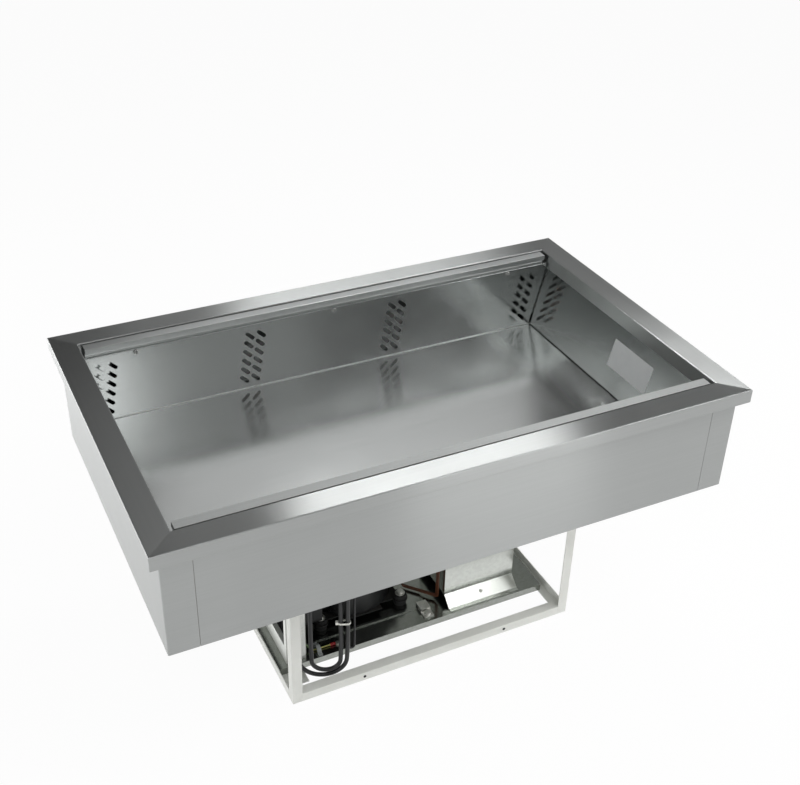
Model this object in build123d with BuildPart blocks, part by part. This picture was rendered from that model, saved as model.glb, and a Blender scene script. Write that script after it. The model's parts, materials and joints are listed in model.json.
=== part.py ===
from build123d import *

import os
from math import cos, dist, pi, radians, sin, tan

# Refrigerated drop-in well: a stainless basin on a small machine frame, as separate pieces.
# Frame: millimetres, +X along the length, +Y to the back, +Z up, origin on the floor under the middle.
os.makedirs("parts", exist_ok=True)


# Driving dimensions: rim and casing
RIM_LENGTH = 1125.0
RIM_DEPTH = 700.0
HEIGHT = 550.0
RIM_BAND = 48.0
RIM_GAUGE = 1.5
LIP_HEIGHT = 28.0
INNER_FLANGE = 32.0
SKIRT_INSET = 16.5
CASING_DEPTH = 221.0
CASING_GAUGE = 1.2
CORNER_WRAP = 53.0
SEAM_GAP = 0.6

# Driving dimensions: basin
LINER_GAUGE = 1.0
END_SLOPE = 14.0
FLOOR_DEPTH = 166.0
SUMP_DEPTH = 14.0
SHEET_GAUGE = 1.0
DUCT_DEPTH = 27.0
END_GAP = 3.0
PANEL_DROP = 20.0
PANEL_FLANGE = 22.0
BEARER_PITCH = 300.0
BEARER_WIDTH = 30.0
BEARER_INSET = 26.0
PLATE_LENGTH = 128.0
PLATE_HEIGHT = 60.0
PLATE_GAUGE = 0.5
PLATE_CORNER = 2.0
PLATE_CENTRE_Y = -73.0
PLATE_DROP = 90.0

# Driving dimensions: air slots and panel screws
SLOT_LENGTH = 24.0
SLOT_WIDTH = 8.0
SLOT_ANGLE = -45.0
SLOT_ROWS = 6
SLOT_ROW_PITCH = 19.7
SLOT_COLUMN_PITCH = 24.0
SLOT_SKEW = 3.3
SLOT_TOP_DROP = 45.0
SLOT_LEFT_END = 42.5
SLOT_LEFT_MIDDLE = 170.0
SLOT_RIGHT_MIDDLE = 145.0
SLOT_RIGHT_END = 52.5
SCREW_END = 102.0
SCREW_DROP = 26.0
SCREW_RADIUS = 2.0
SCREW_HEAD_RADIUS = 5.5
SCREW_HEAD_HEIGHT = 3.2
SCREW_LENGTH = 9.0
CLIP_WIDTH = 24.0
CLIP_HEIGHT = 5.0

# Driving dimensions: lift-out pan rails
RAIL_END_GAP = 7.5
RAIL_WIDTH = 20.0
RAIL_BACK_GAP = 4.0
RAIL_DROP = 2.0
RAIL_LIP = 11.5
RAIL_RETURN = 8.0
RAIL_GAUGE = 1.2

# Driving dimensions: evaporators and drain
COIL_END_GAP = 84.5
COIL_HEIGHT = 84.0
COIL_WIDTH = 22.0
COIL_PASSES = 4
COIL_PASS_PITCH = 21.0
COIL_TUBE_RADIUS = 4.5
COIL_FLOOR_GAP = 16.0
COIL_FIN_PITCH = 20.0
COIL_FIN_MARGIN = 30.0
FIN_GAUGE = 0.5
FIN_CLEARANCE = 0.05
BEND_SLACK = 0.5
DRAIN_END = 114.5
DRAIN_RADIUS = 16.6
DRAIN_BORE = 13.0
DRAIN_REACH = 40.0
DRAIN_COLLAR = 26.0
DRAIN_COLLAR_HEIGHT = 1.5
DRAIN_NUT = 24.0
DRAIN_NUT_HEIGHT = 6.0
HOLE_CLEARANCE = 0.1

# Driving dimensions: machine frame and tray
FRAME_LENGTH = 604.0
FRAME_DEPTH = 452.0
ANGLE_LEG = 20.0
ANGLE_GAUGE = 2.0
PAD_SIZE = 44.0
PAD_GAUGE = 3.0
RUNNER_WIDTH = 50.0
RUNNER_END = 41.0
FRONT_HOLE_PITCH = 308.0
FRONT_HOLE_RADIUS = 2.2
TRAY_LEFT_GAP = 1.0
TRAY_RIGHT_GAP = 13.0
TRAY_DEPTH = 300.0
TRAY_HEIGHT = 15.0
TRAY_GAUGE = 1.0

# Driving dimensions: compressor
BOLT_PITCH_X = 176.0
BOLT_PITCH_Y = 114.0
COMPRESSOR_X = -96.0
COMPRESSOR_Y = -20.0
SHELL_LENGTH = 164.0
SHELL_WIDTH = 140.0
SHELL_LOWER = 72.0
SHELL_UPPER = 84.0
SHELL_LIP = 3.0
SHELL_CROWN = 42.0
STUB_SPREAD = 20.5
STUB_DROP = 9.0
BASE_PLATE_LENGTH = 272.0
BASE_PLATE_DEPTH = 178.0
BASE_PLATE_GAUGE = 3.0
GROMMET_RADIUS = 13.0
GROMMET_NECK = 9.0
GROMMET_LOWER = 12.0
GROMMET_UPPER = 9.0
FOOT_GAUGE = 3.2
FOOT_CORNER = 16.0
BOLT_RADIUS = 3.9
BOLT_FLATS = 13.0
BOLT_HEAD = 5.5
WASHER_RADIUS = 10.0
WASHER_GAUGE = 1.6
COVER_DEPTH = 32.0
COVER_WIDTH = 70.0
COVER_HEIGHT = 62.0
COVER_SINK = 16.0
COVER_CORNER = 6.4
STUB_LENGTH = 14.0

# Driving dimensions: condenser and its fan
CONDENSER_X = -281.0
CONDENSER_THICK = 40.0
CONDENSER_DEPTH = 280.0
CONDENSER_HEIGHT = 253.0
CONDENSER_SILL = 39.0
CONDENSER_LIP = 10.0
CONDENSER_GAUGE = 1.2
FIN_PITCH = 6.0
FIN_SPAN = 228.0
FIN_THICK = 30.0
PASSES = 6
PASS_PITCH = 34.0
TUBE_RADIUS = 4.0
BEND_INSET = 6.0
FAN_SIZE = 200.0
FAN_DEPTH = 51.0
FAN_CORNER = 10.0
FAN_BORE = 96.0
FAN_TIP = 93.0
FAN_HUB = 40.0
FAN_HUB_DEPTH = 38.0
FAN_BLADES = 5
FAN_CHORD = 62.0
FAN_PITCH_ANGLE = 32.0
FAN_BLADE_GAUGE = 2.5
FAN_SPOKES = 4
FAN_SPOKE_WIDTH = 8.0
FAN_SPOKE_DEPTH = 5.0
FAN_BOSS = 34.0
FAN_SHAFT = 4.0
FAN_LIFT = 138.0
SHAFT_CLEARANCE = 0.05
END_PLAY = 0.4

# Driving dimensions: pipes
PIPE_RADIUS = 4.0
LIQUID_RADIUS = 3.0
CAPILLARY_RADIUS = 1.2
PIPE_BEND = 18.0
PIPE_LANE = 25.0
ELBOW_BEND = 8.8
DRIER_RADIUS = 9.5
DRIER_LENGTH = 110.0
DRIER_X = -40.0

# Driving dimensions: control box, switch and thermostat
BOX_X = 75.0
BOX_Y = -115.0
BOX_LENGTH = 160.0
BOX_DEPTH = 110.0
BOX_HEIGHT = 150.0
BOX_GAUGE = 1.0
BOX_LIFT = 23.0
BOX_FOOT_TOE = 8.0
BOX_FOOT_GAUGE = 2.0
BOX_FOOT_TAB = 8.0
CONTROL_LIFT = 112.0
KNOB_X = 50.0
KNOB_RADIUS = 20.0
KNOB_TAPER = 0.8
KNOB_SKIRT = 4.0
KNOB_HEIGHT = 12.0
KNOB_GRIP = 8.0
KNOB_GAP = 0.6
SPINDLE_RADIUS = 3.0
SPINDLE_CLEARANCE = 0.5
SPINDLE_DEPTH = 16.0
THERMOSTAT_SIZE = 42.0
THERMOSTAT_DEPTH = 34.0
SWITCH_LENGTH = 32.0
SWITCH_WIDTH = 18.0
SWITCH_BEZEL = 2.0
SWITCH_BODY_DEPTH = 24.0
SWITCH_WALL = 2.0
SWITCH_X = 128.0
ROCKER_LENGTH = 21.0
ROCKER_TILT = 14.0
ROCKER_HEIGHT = 5.0
ROCKER_PIN = 1.5
ROCKER_SIDE_GAP = 0.3

# Driving dimensions: leads and small fittings
CORD_RADIUS = 4.3
CORD_BEND_SHARE = 0.45
CORD_X = -192.0
CORD_Y = -199.0
GLAND_Y = -165.0
GLAND_LENGTH = 32.0
GLAND_TOP_RADIUS = 12.0
GLAND_TIP_RADIUS = 6.0
LEAD_STRAIGHT = 35.0
LEAD_OFFSET_DROP = 62.0
HANK_TURN = 20.0
HANK_INNER_LEFT = 57.0
HANK_OUTER_RIGHT = -13.0
HANK_OUTER_LEFT = 82.0
HANK_INNER_LOW = 50.5
HANK_OUTER_LOW = 56.5
HANK_TOP_DROP = 75.0
HANK_END_RUN = 3.0
PLUG_X = -146.0
PLUG_Y = -190.0
PLUG_RELIEF = 20.0
PLUG_BODY = 28.0
PLUG_LENGTH = 34.0
PLUG_WIDTH = 24.0
PLUG_NECK = 8.0
PLUG_CORNER = 6.0
PLUG_PIN_RADIUS = 2.4
PLUG_PIN_PITCH = 19.0
PLUG_PIN_LENGTH = 18.0
TIE_DROP = 23.0
TIE_HEIGHT = 3.8
TIE_GAUGE = 1.2
TIE_GAP = 0.3
TIE_HEAD = 6.0
HOOK_RADIUS = 2.5
HOOK_BEND = 5.0
HOOK_SETBACK = 26.0
HOOK_REACH = 14.0
HOOK_TIP = 12.0
HOOK_PLATE = 14.0
HOOK_PLATE_GAUGE = 2.0
REST_GAP = 0.3
PROBE_RADIUS = 2.0
PROBE_X = -163.0
PROBE_Y = -172.0
PROBE_LOW = 44.0
PROBE_BEND = 5.5
EARTH_RADIUS = 1.5
EARTH_BEND = 3.0
EARTH_X = -170.0
EARTH_Y = -130.0
EARTH_LUG_RADIUS = 5.0
EARTH_LUG_GAUGE = 1.2
EARTH_SLEEVE_LENGTH = 11.0
EARTH_SLEEVE_RADIUS = 3.0
EARTH_SCREW_HEAD = 3.0
EARTH_SCREW_RADIUS = 4.0
WIRE_RADIUS = 1.4
WIRE_COUNT = 3
WIRE_PITCH = 4.2
WIRE_BEND = 5.6
WIRE_INSET = 11.5
WIRE_DROP = 23.0
WIRE_RISE = 12.4
WIRE_CLEAR = 7.0
WIRE_STAND_OFF = 12.0
ARCH_X = -216.0
ARCH_RADIUS = 9.0
ARCH_GAUGE = 3.0
ARCH_WIDTH = 8.0
ARCH_FOOT = 9.0
CLAMP_WIDTH = 22.0
CLAMP_LIP = 10.0
CLAMP_BODY = 14.0
CLAMP_FOOT = 17.0
CLAMP_RISE = 7.0
CLAMP_FOOT_GAUGE = 3.0


# Levels and edges that follow from them
open_x = RIM_LENGTH / 2 - RIM_BAND
open_y = RIM_DEPTH / 2 - RIM_BAND
skirt_x = RIM_LENGTH / 2 - SKIRT_INSET
skirt_y = RIM_DEPTH / 2 - SKIRT_INSET
rim_underside = HEIGHT - RIM_GAUGE
casing_floor = HEIGHT - CASING_DEPTH
liner_top = HEIGHT - INNER_FLANGE
floor_top = HEIGHT - FLOOR_DEPTH
liner_floor = floor_top - SUMP_DEPTH
panel_face = open_y - DUCT_DEPTH
panel_back = panel_face + SHEET_GAUGE
panel_top = HEIGHT - PANEL_DROP
slope_run = tan(radians(END_SLOPE))
slope_skin = LINER_GAUGE / cos(radians(END_SLOPE))
tray_under = ANGLE_GAUGE + TRAY_HEIGHT - TRAY_GAUGE
tray_top = ANGLE_GAUGE + TRAY_HEIGHT
frame_x = FRAME_LENGTH / 2
frame_y = FRAME_DEPTH / 2
frame_top = casing_floor - PAD_GAUGE
drain_x = open_x - DRAIN_END
hank_top = casing_floor - HANK_TOP_DROP


def save(builder, name):
    """Label a finished piece and write it as one file."""
    builder.part.label = name
    export_step(builder.part, f"parts/{name}.step")


def block(x0, x1, y0, y1, z0, z1, mode=Mode.ADD):
    """Add or cut a box between two corners inside the open part."""
    middle = ((x0 + x1) / 2, (y0 + y1) / 2, (z0 + z1) / 2)
    with Locations(middle):
        Box(x1 - x0, y1 - y0, z1 - z0, mode=mode)


def plate_rows(rows):
    """Fill a sketch with rectangles given as (x0, x1, y0, y1)."""
    for x0, x1, y0, y1 in rows:
        with Locations(((x0 + x1) / 2, (y0 + y1) / 2)):
            Rectangle(x1 - x0, y1 - y0)


def run_radii(points):
    """Give the widest easy bend for each inner point of a free cord's route."""
    radii = []
    for before, here, after in zip(points, points[1:], points[2:]):
        run_in = Vector(*here) - Vector(*before)
        run_out = Vector(*after) - Vector(*here)
        half_turn = radians(run_in.get_angle(run_out) / 2)
        radii.append(CORD_BEND_SHARE * min(run_in.length, run_out.length) / tan(half_turn))
    return radii


def rod(points, bend, radius):
    """Sweep a round rod along straight runs joined by tangent bends."""
    with BuildPart() as bent:
        with BuildLine() as route:
            FilletPolyline(*points, radius=bend)
        with BuildSketch(Plane(origin=route.line @ 0, z_dir=route.line % 0)):
            Circle(radius)
        sweep()
    length = route.wire().length
    share = bent.part.volume / (pi * radius**2 * length)
    print(f"rod {radius:.1f}: length {length:.1f}, volume ratio {share:.4f}")
    return bent.part


# Rim: four mitred stainless members with a lip, a seat and an inner flange
def rim_member(name, inward, run, half_span):
    """Make one rim member, whose profile looks inward and whose ends are mitred."""
    along = inward.cross(Vector(0, 0, 1))
    edge = inward * -half_span
    with BuildPart() as member:
        with BuildSketch(Plane(origin=edge, x_dir=inward, z_dir=along)):
            plate_rows(
                (
                    (0, RIM_BAND, rim_underside, HEIGHT),
                    (0, RIM_GAUGE, HEIGHT - LIP_HEIGHT, HEIGHT),
                    (0, SKIRT_INSET, HEIGHT - LIP_HEIGHT, HEIGHT - LIP_HEIGHT + RIM_GAUGE),
                    (RIM_BAND - RIM_GAUGE, RIM_BAND, liner_top, HEIGHT),
                )
            )
        extrude(amount=run / 2, both=True)
        for end in (along, along * -1):
            corner = edge + end * (run / 2)
            split(bisect_by=Plane(origin=corner, z_dir=end + inward), keep=Keep.BOTTOM)
    save(member, name)


for rim_name, inward, run, half_span in (
    ("rim_front", Vector(0, 1, 0), RIM_LENGTH, RIM_DEPTH / 2),
    ("rim_back", Vector(0, -1, 0), RIM_LENGTH, RIM_DEPTH / 2),
    ("rim_left", Vector(1, 0, 0), RIM_DEPTH, RIM_LENGTH / 2),
    ("rim_right", Vector(-1, 0, 0), RIM_DEPTH, RIM_LENGTH / 2),
):
    rim_member(rim_name, inward, run, half_span)


# Casing: two end panels that wrap the corners, two long panels and a bottom panel
wrap_x = skirt_x - CORNER_WRAP
for end_name, side in (("casing_left", -1), ("casing_right", 1)):
    outer, inner, wrap = side * skirt_x, side * (skirt_x - CASING_GAUGE), side * wrap_x
    with BuildPart() as casing_end:
        with BuildSketch(Plane.XY.offset(casing_floor)):
            plate_rows(((min(outer, inner), max(outer, inner), -skirt_y, skirt_y),))
            for y0, y1 in ((-skirt_y, CASING_GAUGE - skirt_y), (skirt_y - CASING_GAUGE, skirt_y)):
                plate_rows(((min(outer, wrap), max(outer, wrap), y0, y1),))
        extrude(amount=rim_underside - casing_floor)
    save(casing_end, end_name)

long_half = wrap_x - SEAM_GAP
for long_name, y0, y1 in (
    ("casing_front", -skirt_y, CASING_GAUGE - skirt_y),
    ("casing_back", skirt_y - CASING_GAUGE, skirt_y),
):
    with BuildPart() as casing_long:
        block(-long_half, long_half, y0, y1, casing_floor, rim_underside)
    save(casing_long, long_name)

inside_x = skirt_x - CASING_GAUGE
inside_y = skirt_y - CASING_GAUGE
foam_floor = casing_floor + CASING_GAUGE
with BuildPart() as casing_bottom:
    block(-inside_x, inside_x, -inside_y, inside_y, casing_floor, foam_floor)
    with Locations((drain_x, 0, casing_floor + CASING_GAUGE / 2)):
        Cylinder(DRAIN_RADIUS + HOLE_CLEARANCE, 2 * CASING_GAUGE, mode=Mode.SUBTRACT)
save(casing_bottom, "casing_bottom")


# Liner: a bent stainless trough, and two end walls welded into it that lean in towards the floor
def tub_profile(skin, depth_skin, mode=Mode.ADD):
    """Draw the tub's lengthwise outline, grown outwards by its skin."""
    low = liner_floor - depth_skin
    top_half = open_x + skin
    low_half = top_half - (liner_top - low) * slope_run
    corners = ((-top_half, liner_top), (top_half, liner_top), (low_half, low), (-low_half, low))
    Polygon(*corners, align=None, mode=mode)


with BuildPart() as well_liner:
    with BuildSketch(Plane.XZ):
        tub_profile(slope_skin, LINER_GAUGE)
    extrude(amount=open_y + LINER_GAUGE, both=True)
    with BuildSketch(Plane.XZ):
        tub_profile(slope_skin, 0)
    extrude(amount=open_y, both=True, mode=Mode.SUBTRACT)
    with Locations((drain_x, 0, liner_floor)):
        Cylinder(DRAIN_RADIUS + HOLE_CLEARANCE, 4 * LINER_GAUGE, mode=Mode.SUBTRACT)
save(well_liner, "well_liner")

with BuildPart() as liner_ends:
    with BuildSketch(Plane.XZ):
        tub_profile(slope_skin, 0)
        tub_profile(0, 0, mode=Mode.SUBTRACT)
    extrude(amount=open_y, both=True)
save(liner_ends, "liner_ends")

with BuildPart() as insulation:
    block(-inside_x, inside_x, -inside_y, inside_y, foam_floor, rim_underside)
    flange_x = open_x + RIM_GAUGE
    flange_y = open_y + RIM_GAUGE
    block(-flange_x, flange_x, -flange_y, flange_y, liner_top, HEIGHT, mode=Mode.SUBTRACT)
    with BuildSketch(Plane.XZ):
        tub_profile(slope_skin, LINER_GAUGE)
    extrude(amount=open_y + LINER_GAUGE, both=True, mode=Mode.SUBTRACT)
    with Locations((drain_x, 0, (foam_floor + liner_floor) / 2)):
        Cylinder(DRAIN_RADIUS + HOLE_CLEARANCE, liner_floor - foam_floor, mode=Mode.SUBTRACT)
save(insulation, "insulation")


# Floor plate with its bearers welded below, and the two slotted air panels that stand on it
wall_normal = Vector(cos(radians(END_SLOPE)), 0, -sin(radians(END_SLOPE)))


def trim_ends():
    """Cut the open part's two ends along the leaning end walls, a gap inside them."""
    for side in (1, -1):
        outward = Vector(side * wall_normal.X, 0, wall_normal.Z)
        foot = Vector(side * open_x, 0, liner_top) - outward * END_GAP
        split(bisect_by=Plane(origin=foot, z_dir=outward), keep=Keep.BOTTOM)


insert_half = open_x - END_GAP
bearer_top = floor_top - SHEET_GAUGE
with BuildPart() as floor_plate:
    block(-insert_half, insert_half, -panel_back, panel_back, bearer_top, floor_top)
    trim_ends()
    for bearer_x in (-BEARER_PITCH, 0, BEARER_PITCH):
        left, right = bearer_x - BEARER_WIDTH / 2, bearer_x + BEARER_WIDTH / 2
        with BuildSketch(Plane.XZ):
            plate_rows(
                (
                    (left, right, bearer_top - SHEET_GAUGE, bearer_top),
                    (left, left + SHEET_GAUGE, liner_floor, bearer_top),
                    (right - SHEET_GAUGE, right, liner_floor, bearer_top),
                )
            )
        extrude(amount=panel_back - BEARER_INSET, both=True)
save(floor_plate, "floor_plate")

slot_groups = (SLOT_LEFT_END - open_x, -SLOT_LEFT_MIDDLE, SLOT_RIGHT_MIDDLE, open_x - SLOT_RIGHT_END)
slot_top = HEIGHT - SLOT_TOP_DROP
slot_points = [
    (group + column * SLOT_COLUMN_PITCH / 2 - row * SLOT_SKEW, slot_top - row * SLOT_ROW_PITCH)
    for group in slot_groups
    for column in (-1, 1)
    for row in range(SLOT_ROWS)
]
screw_x = open_x - SCREW_END
screw_points = [(x, HEIGHT - SCREW_DROP) for x in (-screw_x, 0, screw_x)]
for panel_name, side in (("air_panel_front", -1), ("air_panel_back", 1)):
    face_y, back_y = side * panel_face, side * panel_back
    flange_end = side * (panel_face + PANEL_FLANGE)
    with BuildPart() as air_panel:
        with BuildSketch(Plane.YZ):
            plate_rows(
                (
                    (min(face_y, back_y), max(face_y, back_y), floor_top, panel_top),
                    (min(face_y, flange_end), max(face_y, flange_end), panel_top - SHEET_GAUGE, panel_top),
                )
            )
        extrude(amount=insert_half, both=True)
        trim_ends()
        with BuildSketch(Plane.XZ.offset(-face_y)):
            with Locations(*slot_points):
                SlotOverall(SLOT_LENGTH, SLOT_WIDTH, rotation=SLOT_ANGLE)
            with Locations(*screw_points):
                Circle(SCREW_RADIUS + HOLE_CLEARANCE)
        extrude(amount=2 * SHEET_GAUGE, both=True, mode=Mode.SUBTRACT)
    save(air_panel, panel_name)

with BuildPart() as panel_clips:
    for side in (-1, 1):
        for x, z in screw_points:
            near, far = side * panel_back, side * open_y
            web_far = near + side * RIM_GAUGE
            low, high = z - CLIP_HEIGHT, panel_top - SHEET_GAUGE
            half = CLIP_WIDTH / 2
            block(x - half, x + half, min(near, web_far), max(near, web_far), low, high)
            for x0 in (x - half, x + half - RIM_GAUGE):
                block(x0, x0 + RIM_GAUGE, min(near, far), max(near, far), low, high)
            with Locations(Plane(origin=(x, near, z), z_dir=(0, side, 0))):
                Cylinder(SCREW_RADIUS + HOLE_CLEARANCE, 4 * RIM_GAUGE, mode=Mode.SUBTRACT)
save(panel_clips, "panel_clips")

with BuildPart() as panel_screws:
    for side in (-1, 1):
        for x, z in screw_points:
            with Locations(Plane(origin=(x, side * panel_face, z), z_dir=(0, -side, 0))):
                Cylinder(
                    SCREW_HEAD_RADIUS,
                    SCREW_HEAD_HEIGHT,
                    align=(Align.CENTER, Align.CENTER, Align.MIN),
                )
                Cylinder(SCREW_RADIUS, SCREW_LENGTH, align=(Align.CENTER, Align.CENTER, Align.MAX))
    heads = panel_screws.edges().filter_by(GeomType.CIRCLE).filter_by(
        lambda e: abs(abs(e.arc_center.Y) - panel_face + SCREW_HEAD_HEIGHT) < HOLE_CLEARANCE
    )
    fillet(heads, SCREW_HEAD_HEIGHT / 2)
save(panel_screws, "panel_screws")

# Bare plate on the right end wall, flat on its slope
plate_z = HEIGHT - PLATE_DROP
plate_x = open_x - (liner_top - plate_z) * slope_run
with BuildPart() as bare_plate:
    seat = Plane(origin=(plate_x, PLATE_CENTRE_Y, plate_z), x_dir=(0, 1, 0), z_dir=-wall_normal)
    with BuildSketch(seat):
        RectangleRounded(PLATE_LENGTH, PLATE_HEIGHT, PLATE_CORNER)
    extrude(amount=PLATE_GAUGE)
save(bare_plate, "bare_plate")


# Pan rails: two loose stepped rails that rest on the air panels' top flanges and lift out
rail_top = HEIGHT - RAIL_DROP
rail_back = open_y - RAIL_BACK_GAP
rail_face = rail_back - RAIL_WIDTH
rail_foot = rail_face + RAIL_RETURN
rail_low = rail_top - RAIL_LIP
for rail_name, side in (("pan_rail_front", -1), ("pan_rail_back", 1)):
    rows = (
        (rail_face, rail_back, rail_top - RAIL_GAUGE, rail_top),
        (rail_face, rail_face + RAIL_GAUGE, rail_low, rail_top),
        (rail_face, rail_foot, rail_low, rail_low + RAIL_GAUGE),
        (rail_foot - RAIL_GAUGE, rail_foot, panel_top, rail_low + RAIL_GAUGE),
    )
    with BuildPart() as pan_rail:
        with BuildSketch(Plane.YZ):
            plate_rows([(min(side * a, side * b), max(side * a, side * b), c, d) for a, b, c, d in rows])
        extrude(amount=open_x - RAIL_END_GAP, both=True)
    save(pan_rail, rail_name)


# Evaporators: a slim finned coil in the duct behind each air panel
coil_low = floor_top + COIL_FLOOR_GAP
coil_y = (panel_back + open_y) / 2
pass_low = coil_low + (COIL_HEIGHT - (COIL_PASSES - 1) * COIL_PASS_PITCH) / 2
pass_levels = [pass_low + i * COIL_PASS_PITCH for i in range(COIL_PASSES)]
turn_x = open_x - COIL_END_GAP
fin_count = int(2 * (turn_x - COIL_FIN_MARGIN) / COIL_FIN_PITCH) + 1
fin_xs = [(i - (fin_count - 1) / 2) * COIL_FIN_PITCH for i in range(fin_count)]
coil_spots = [(side * coil_y, z) for side in (-1, 1) for z in pass_levels]
with BuildPart() as evaporator_fins:
    with BuildSketch(*[Plane.YZ.offset(x - FIN_GAUGE / 2) for x in fin_xs]):
        with Locations(*[(side * coil_y, coil_low + COIL_HEIGHT / 2) for side in (-1, 1)]):
            Rectangle(COIL_WIDTH, COIL_HEIGHT)
        with Locations(*coil_spots):
            Circle(COIL_TUBE_RADIUS + FIN_CLEARANCE, mode=Mode.SUBTRACT)
    extrude(amount=FIN_GAUGE)
save(evaporator_fins, "evaporator_fins")

with BuildPart() as evaporator_tubes:
    for side in (-1, 1):
        coil_route = [(turn_x, side * open_y, pass_levels[0]), (turn_x, side * coil_y, pass_levels[0])]
        for i, z in enumerate(pass_levels):
            end_x = -turn_x if i % 2 == 0 else turn_x
            coil_route.append((end_x, side * coil_y, z))
            if i + 1 < COIL_PASSES:
                coil_route.append((end_x, side * coil_y, pass_levels[i + 1]))
        coil_route.append((turn_x, side * open_y, pass_levels[-1]))
        add(rod(coil_route, COIL_PASS_PITCH / 2 - BEND_SLACK, COIL_TUBE_RADIUS))
save(evaporator_tubes, "evaporator_tubes")

# Drain: a threaded spigot from the sump, below the casing
with BuildPart() as drain_outlet:
    with BuildSketch(Plane.XY.offset(casing_floor - DRAIN_REACH)):
        with Locations((drain_x, 0)):
            Circle(DRAIN_RADIUS)
    extrude(amount=liner_floor - casing_floor + DRAIN_REACH)
    with BuildSketch(Plane.XY.offset(liner_floor)):
        with Locations((drain_x, 0)):
            Circle(DRAIN_COLLAR)
    extrude(amount=DRAIN_COLLAR_HEIGHT)
    with BuildSketch(Plane.XY.offset(casing_floor - DRAIN_NUT_HEIGHT)):
        with Locations((drain_x, 0)):
            RegularPolygon(DRAIN_NUT, 6, major_radius=False)
    extrude(amount=DRAIN_NUT_HEIGHT)
    with BuildSketch(Plane.XY.offset(casing_floor - DRAIN_REACH)):
        with Locations((drain_x, 0)):
            Circle(DRAIN_BORE)
    extrude(amount=liner_floor - casing_floor + DRAIN_REACH + DRAIN_COLLAR_HEIGHT, mode=Mode.SUBTRACT)
save(drain_outlet, "drain_outlet")


# Machine frame: angle legs with a pad welded on top, and four bottom rails
for leg_name, sx, sy in (
    ("frame_leg_front_left", -1, -1),
    ("frame_leg_front_right", 1, -1),
    ("frame_leg_back_left", -1, 1),
    ("frame_leg_back_right", 1, 1),
):
    corner_x, corner_y = sx * frame_x, sy * frame_y
    in_x, in_y = corner_x - sx * ANGLE_LEG, corner_y - sy * ANGLE_LEG
    skin_x, skin_y = corner_x - sx * ANGLE_GAUGE, corner_y - sy * ANGLE_GAUGE
    (x_low, x_mid), (y_low, y_mid) = sorted((corner_x, skin_x)), sorted((corner_y, skin_y))
    (x_in, x_out), (y_in, y_out) = sorted((corner_x, in_x)), sorted((corner_y, in_y))
    with BuildPart() as leg:
        with BuildSketch():
            plate_rows(((x_in, x_out, y_low, y_mid), (x_low, x_mid, y_in, y_out)))
        extrude(amount=frame_top)
        with Locations((corner_x - sx * PAD_SIZE / 2, corner_y - sy * PAD_SIZE / 2, frame_top)):
            Box(PAD_SIZE, PAD_SIZE, PAD_GAUGE, align=(Align.CENTER, Align.CENTER, Align.MIN))
    save(leg, leg_name)

rail_half = frame_x - ANGLE_LEG
for rail_name, side in (("frame_rail_front", -1), ("frame_rail_back", 1)):
    face, skin, lip = (side * (frame_y - inset) for inset in (0, ANGLE_GAUGE, ANGLE_LEG))
    with BuildPart() as cross_rail:
        block(-rail_half, rail_half, min(face, skin), max(face, skin), 0, ANGLE_LEG)
        block(-rail_half, rail_half, min(face, lip), max(face, lip), ANGLE_LEG - ANGLE_GAUGE, ANGLE_LEG)
        if side < 0:
            with BuildSketch(Plane.XZ.offset(-face)):
                with Locations((0, ANGLE_LEG / 2)):
                    with GridLocations(FRONT_HOLE_PITCH, 0, 2, 1):
                        Circle(FRONT_HOLE_RADIUS)
            extrude(amount=2 * ANGLE_GAUGE, both=True, mode=Mode.SUBTRACT)
    save(cross_rail, rail_name)

side_half = frame_y - ANGLE_LEG
with BuildPart() as frame_rail_left:
    block(-frame_x, ANGLE_GAUGE - frame_x, -side_half, side_half, 0, ANGLE_LEG)
    runner_half = frame_y - RUNNER_END
    block(-frame_x, RUNNER_WIDTH - frame_x, -runner_half, runner_half, 0, ANGLE_GAUGE)
save(frame_rail_left, "frame_rail_left")

with BuildPart() as frame_rail_right:
    block(frame_x - ANGLE_GAUGE, frame_x, -side_half, side_half, 0, ANGLE_LEG)
    block(frame_x - ANGLE_LEG, frame_x, -side_half, side_half, 0, ANGLE_GAUGE)
save(frame_rail_right, "frame_rail_right")

# Base tray: a galvanised pan turned upside down, on the side rails
tray_left = -frame_x + ANGLE_GAUGE + TRAY_LEFT_GAP
tray_right = frame_x - ANGLE_GAUGE - TRAY_RIGHT_GAP
tray_half = TRAY_DEPTH / 2
with BuildPart() as base_tray:
    block(tray_left, tray_right, -tray_half, tray_half, ANGLE_GAUGE, tray_top)
    block(
        tray_left + TRAY_GAUGE,
        tray_right - TRAY_GAUGE,
        TRAY_GAUGE - tray_half,
        tray_half - TRAY_GAUGE,
        ANGLE_GAUGE,
        tray_under,
        mode=Mode.SUBTRACT,
    )
save(base_tray, "base_tray")


# Compressor on its base plate, with rubber grommets under the feet
plate_top = tray_top + BASE_PLATE_GAUGE
foot_low = plate_top + GROMMET_LOWER
foot_top = foot_low + FOOT_GAUGE
grommet_top = foot_top + GROMMET_UPPER
washer_top = grommet_top + WASHER_GAUGE
bolt_spots = [
    (COMPRESSOR_X + sx * BOLT_PITCH_X / 2, COMPRESSOR_Y + sy * BOLT_PITCH_Y / 2)
    for sx in (-1, 1)
    for sy in (-1, 1)
]
with BuildPart() as compressor_base_plate:
    with BuildSketch(Plane.XY.offset(tray_top)):
        with Locations((COMPRESSOR_X, COMPRESSOR_Y)):
            Rectangle(BASE_PLATE_LENGTH, BASE_PLATE_DEPTH)
    extrude(amount=BASE_PLATE_GAUGE)
save(compressor_base_plate, "compressor_base_plate")

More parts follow.
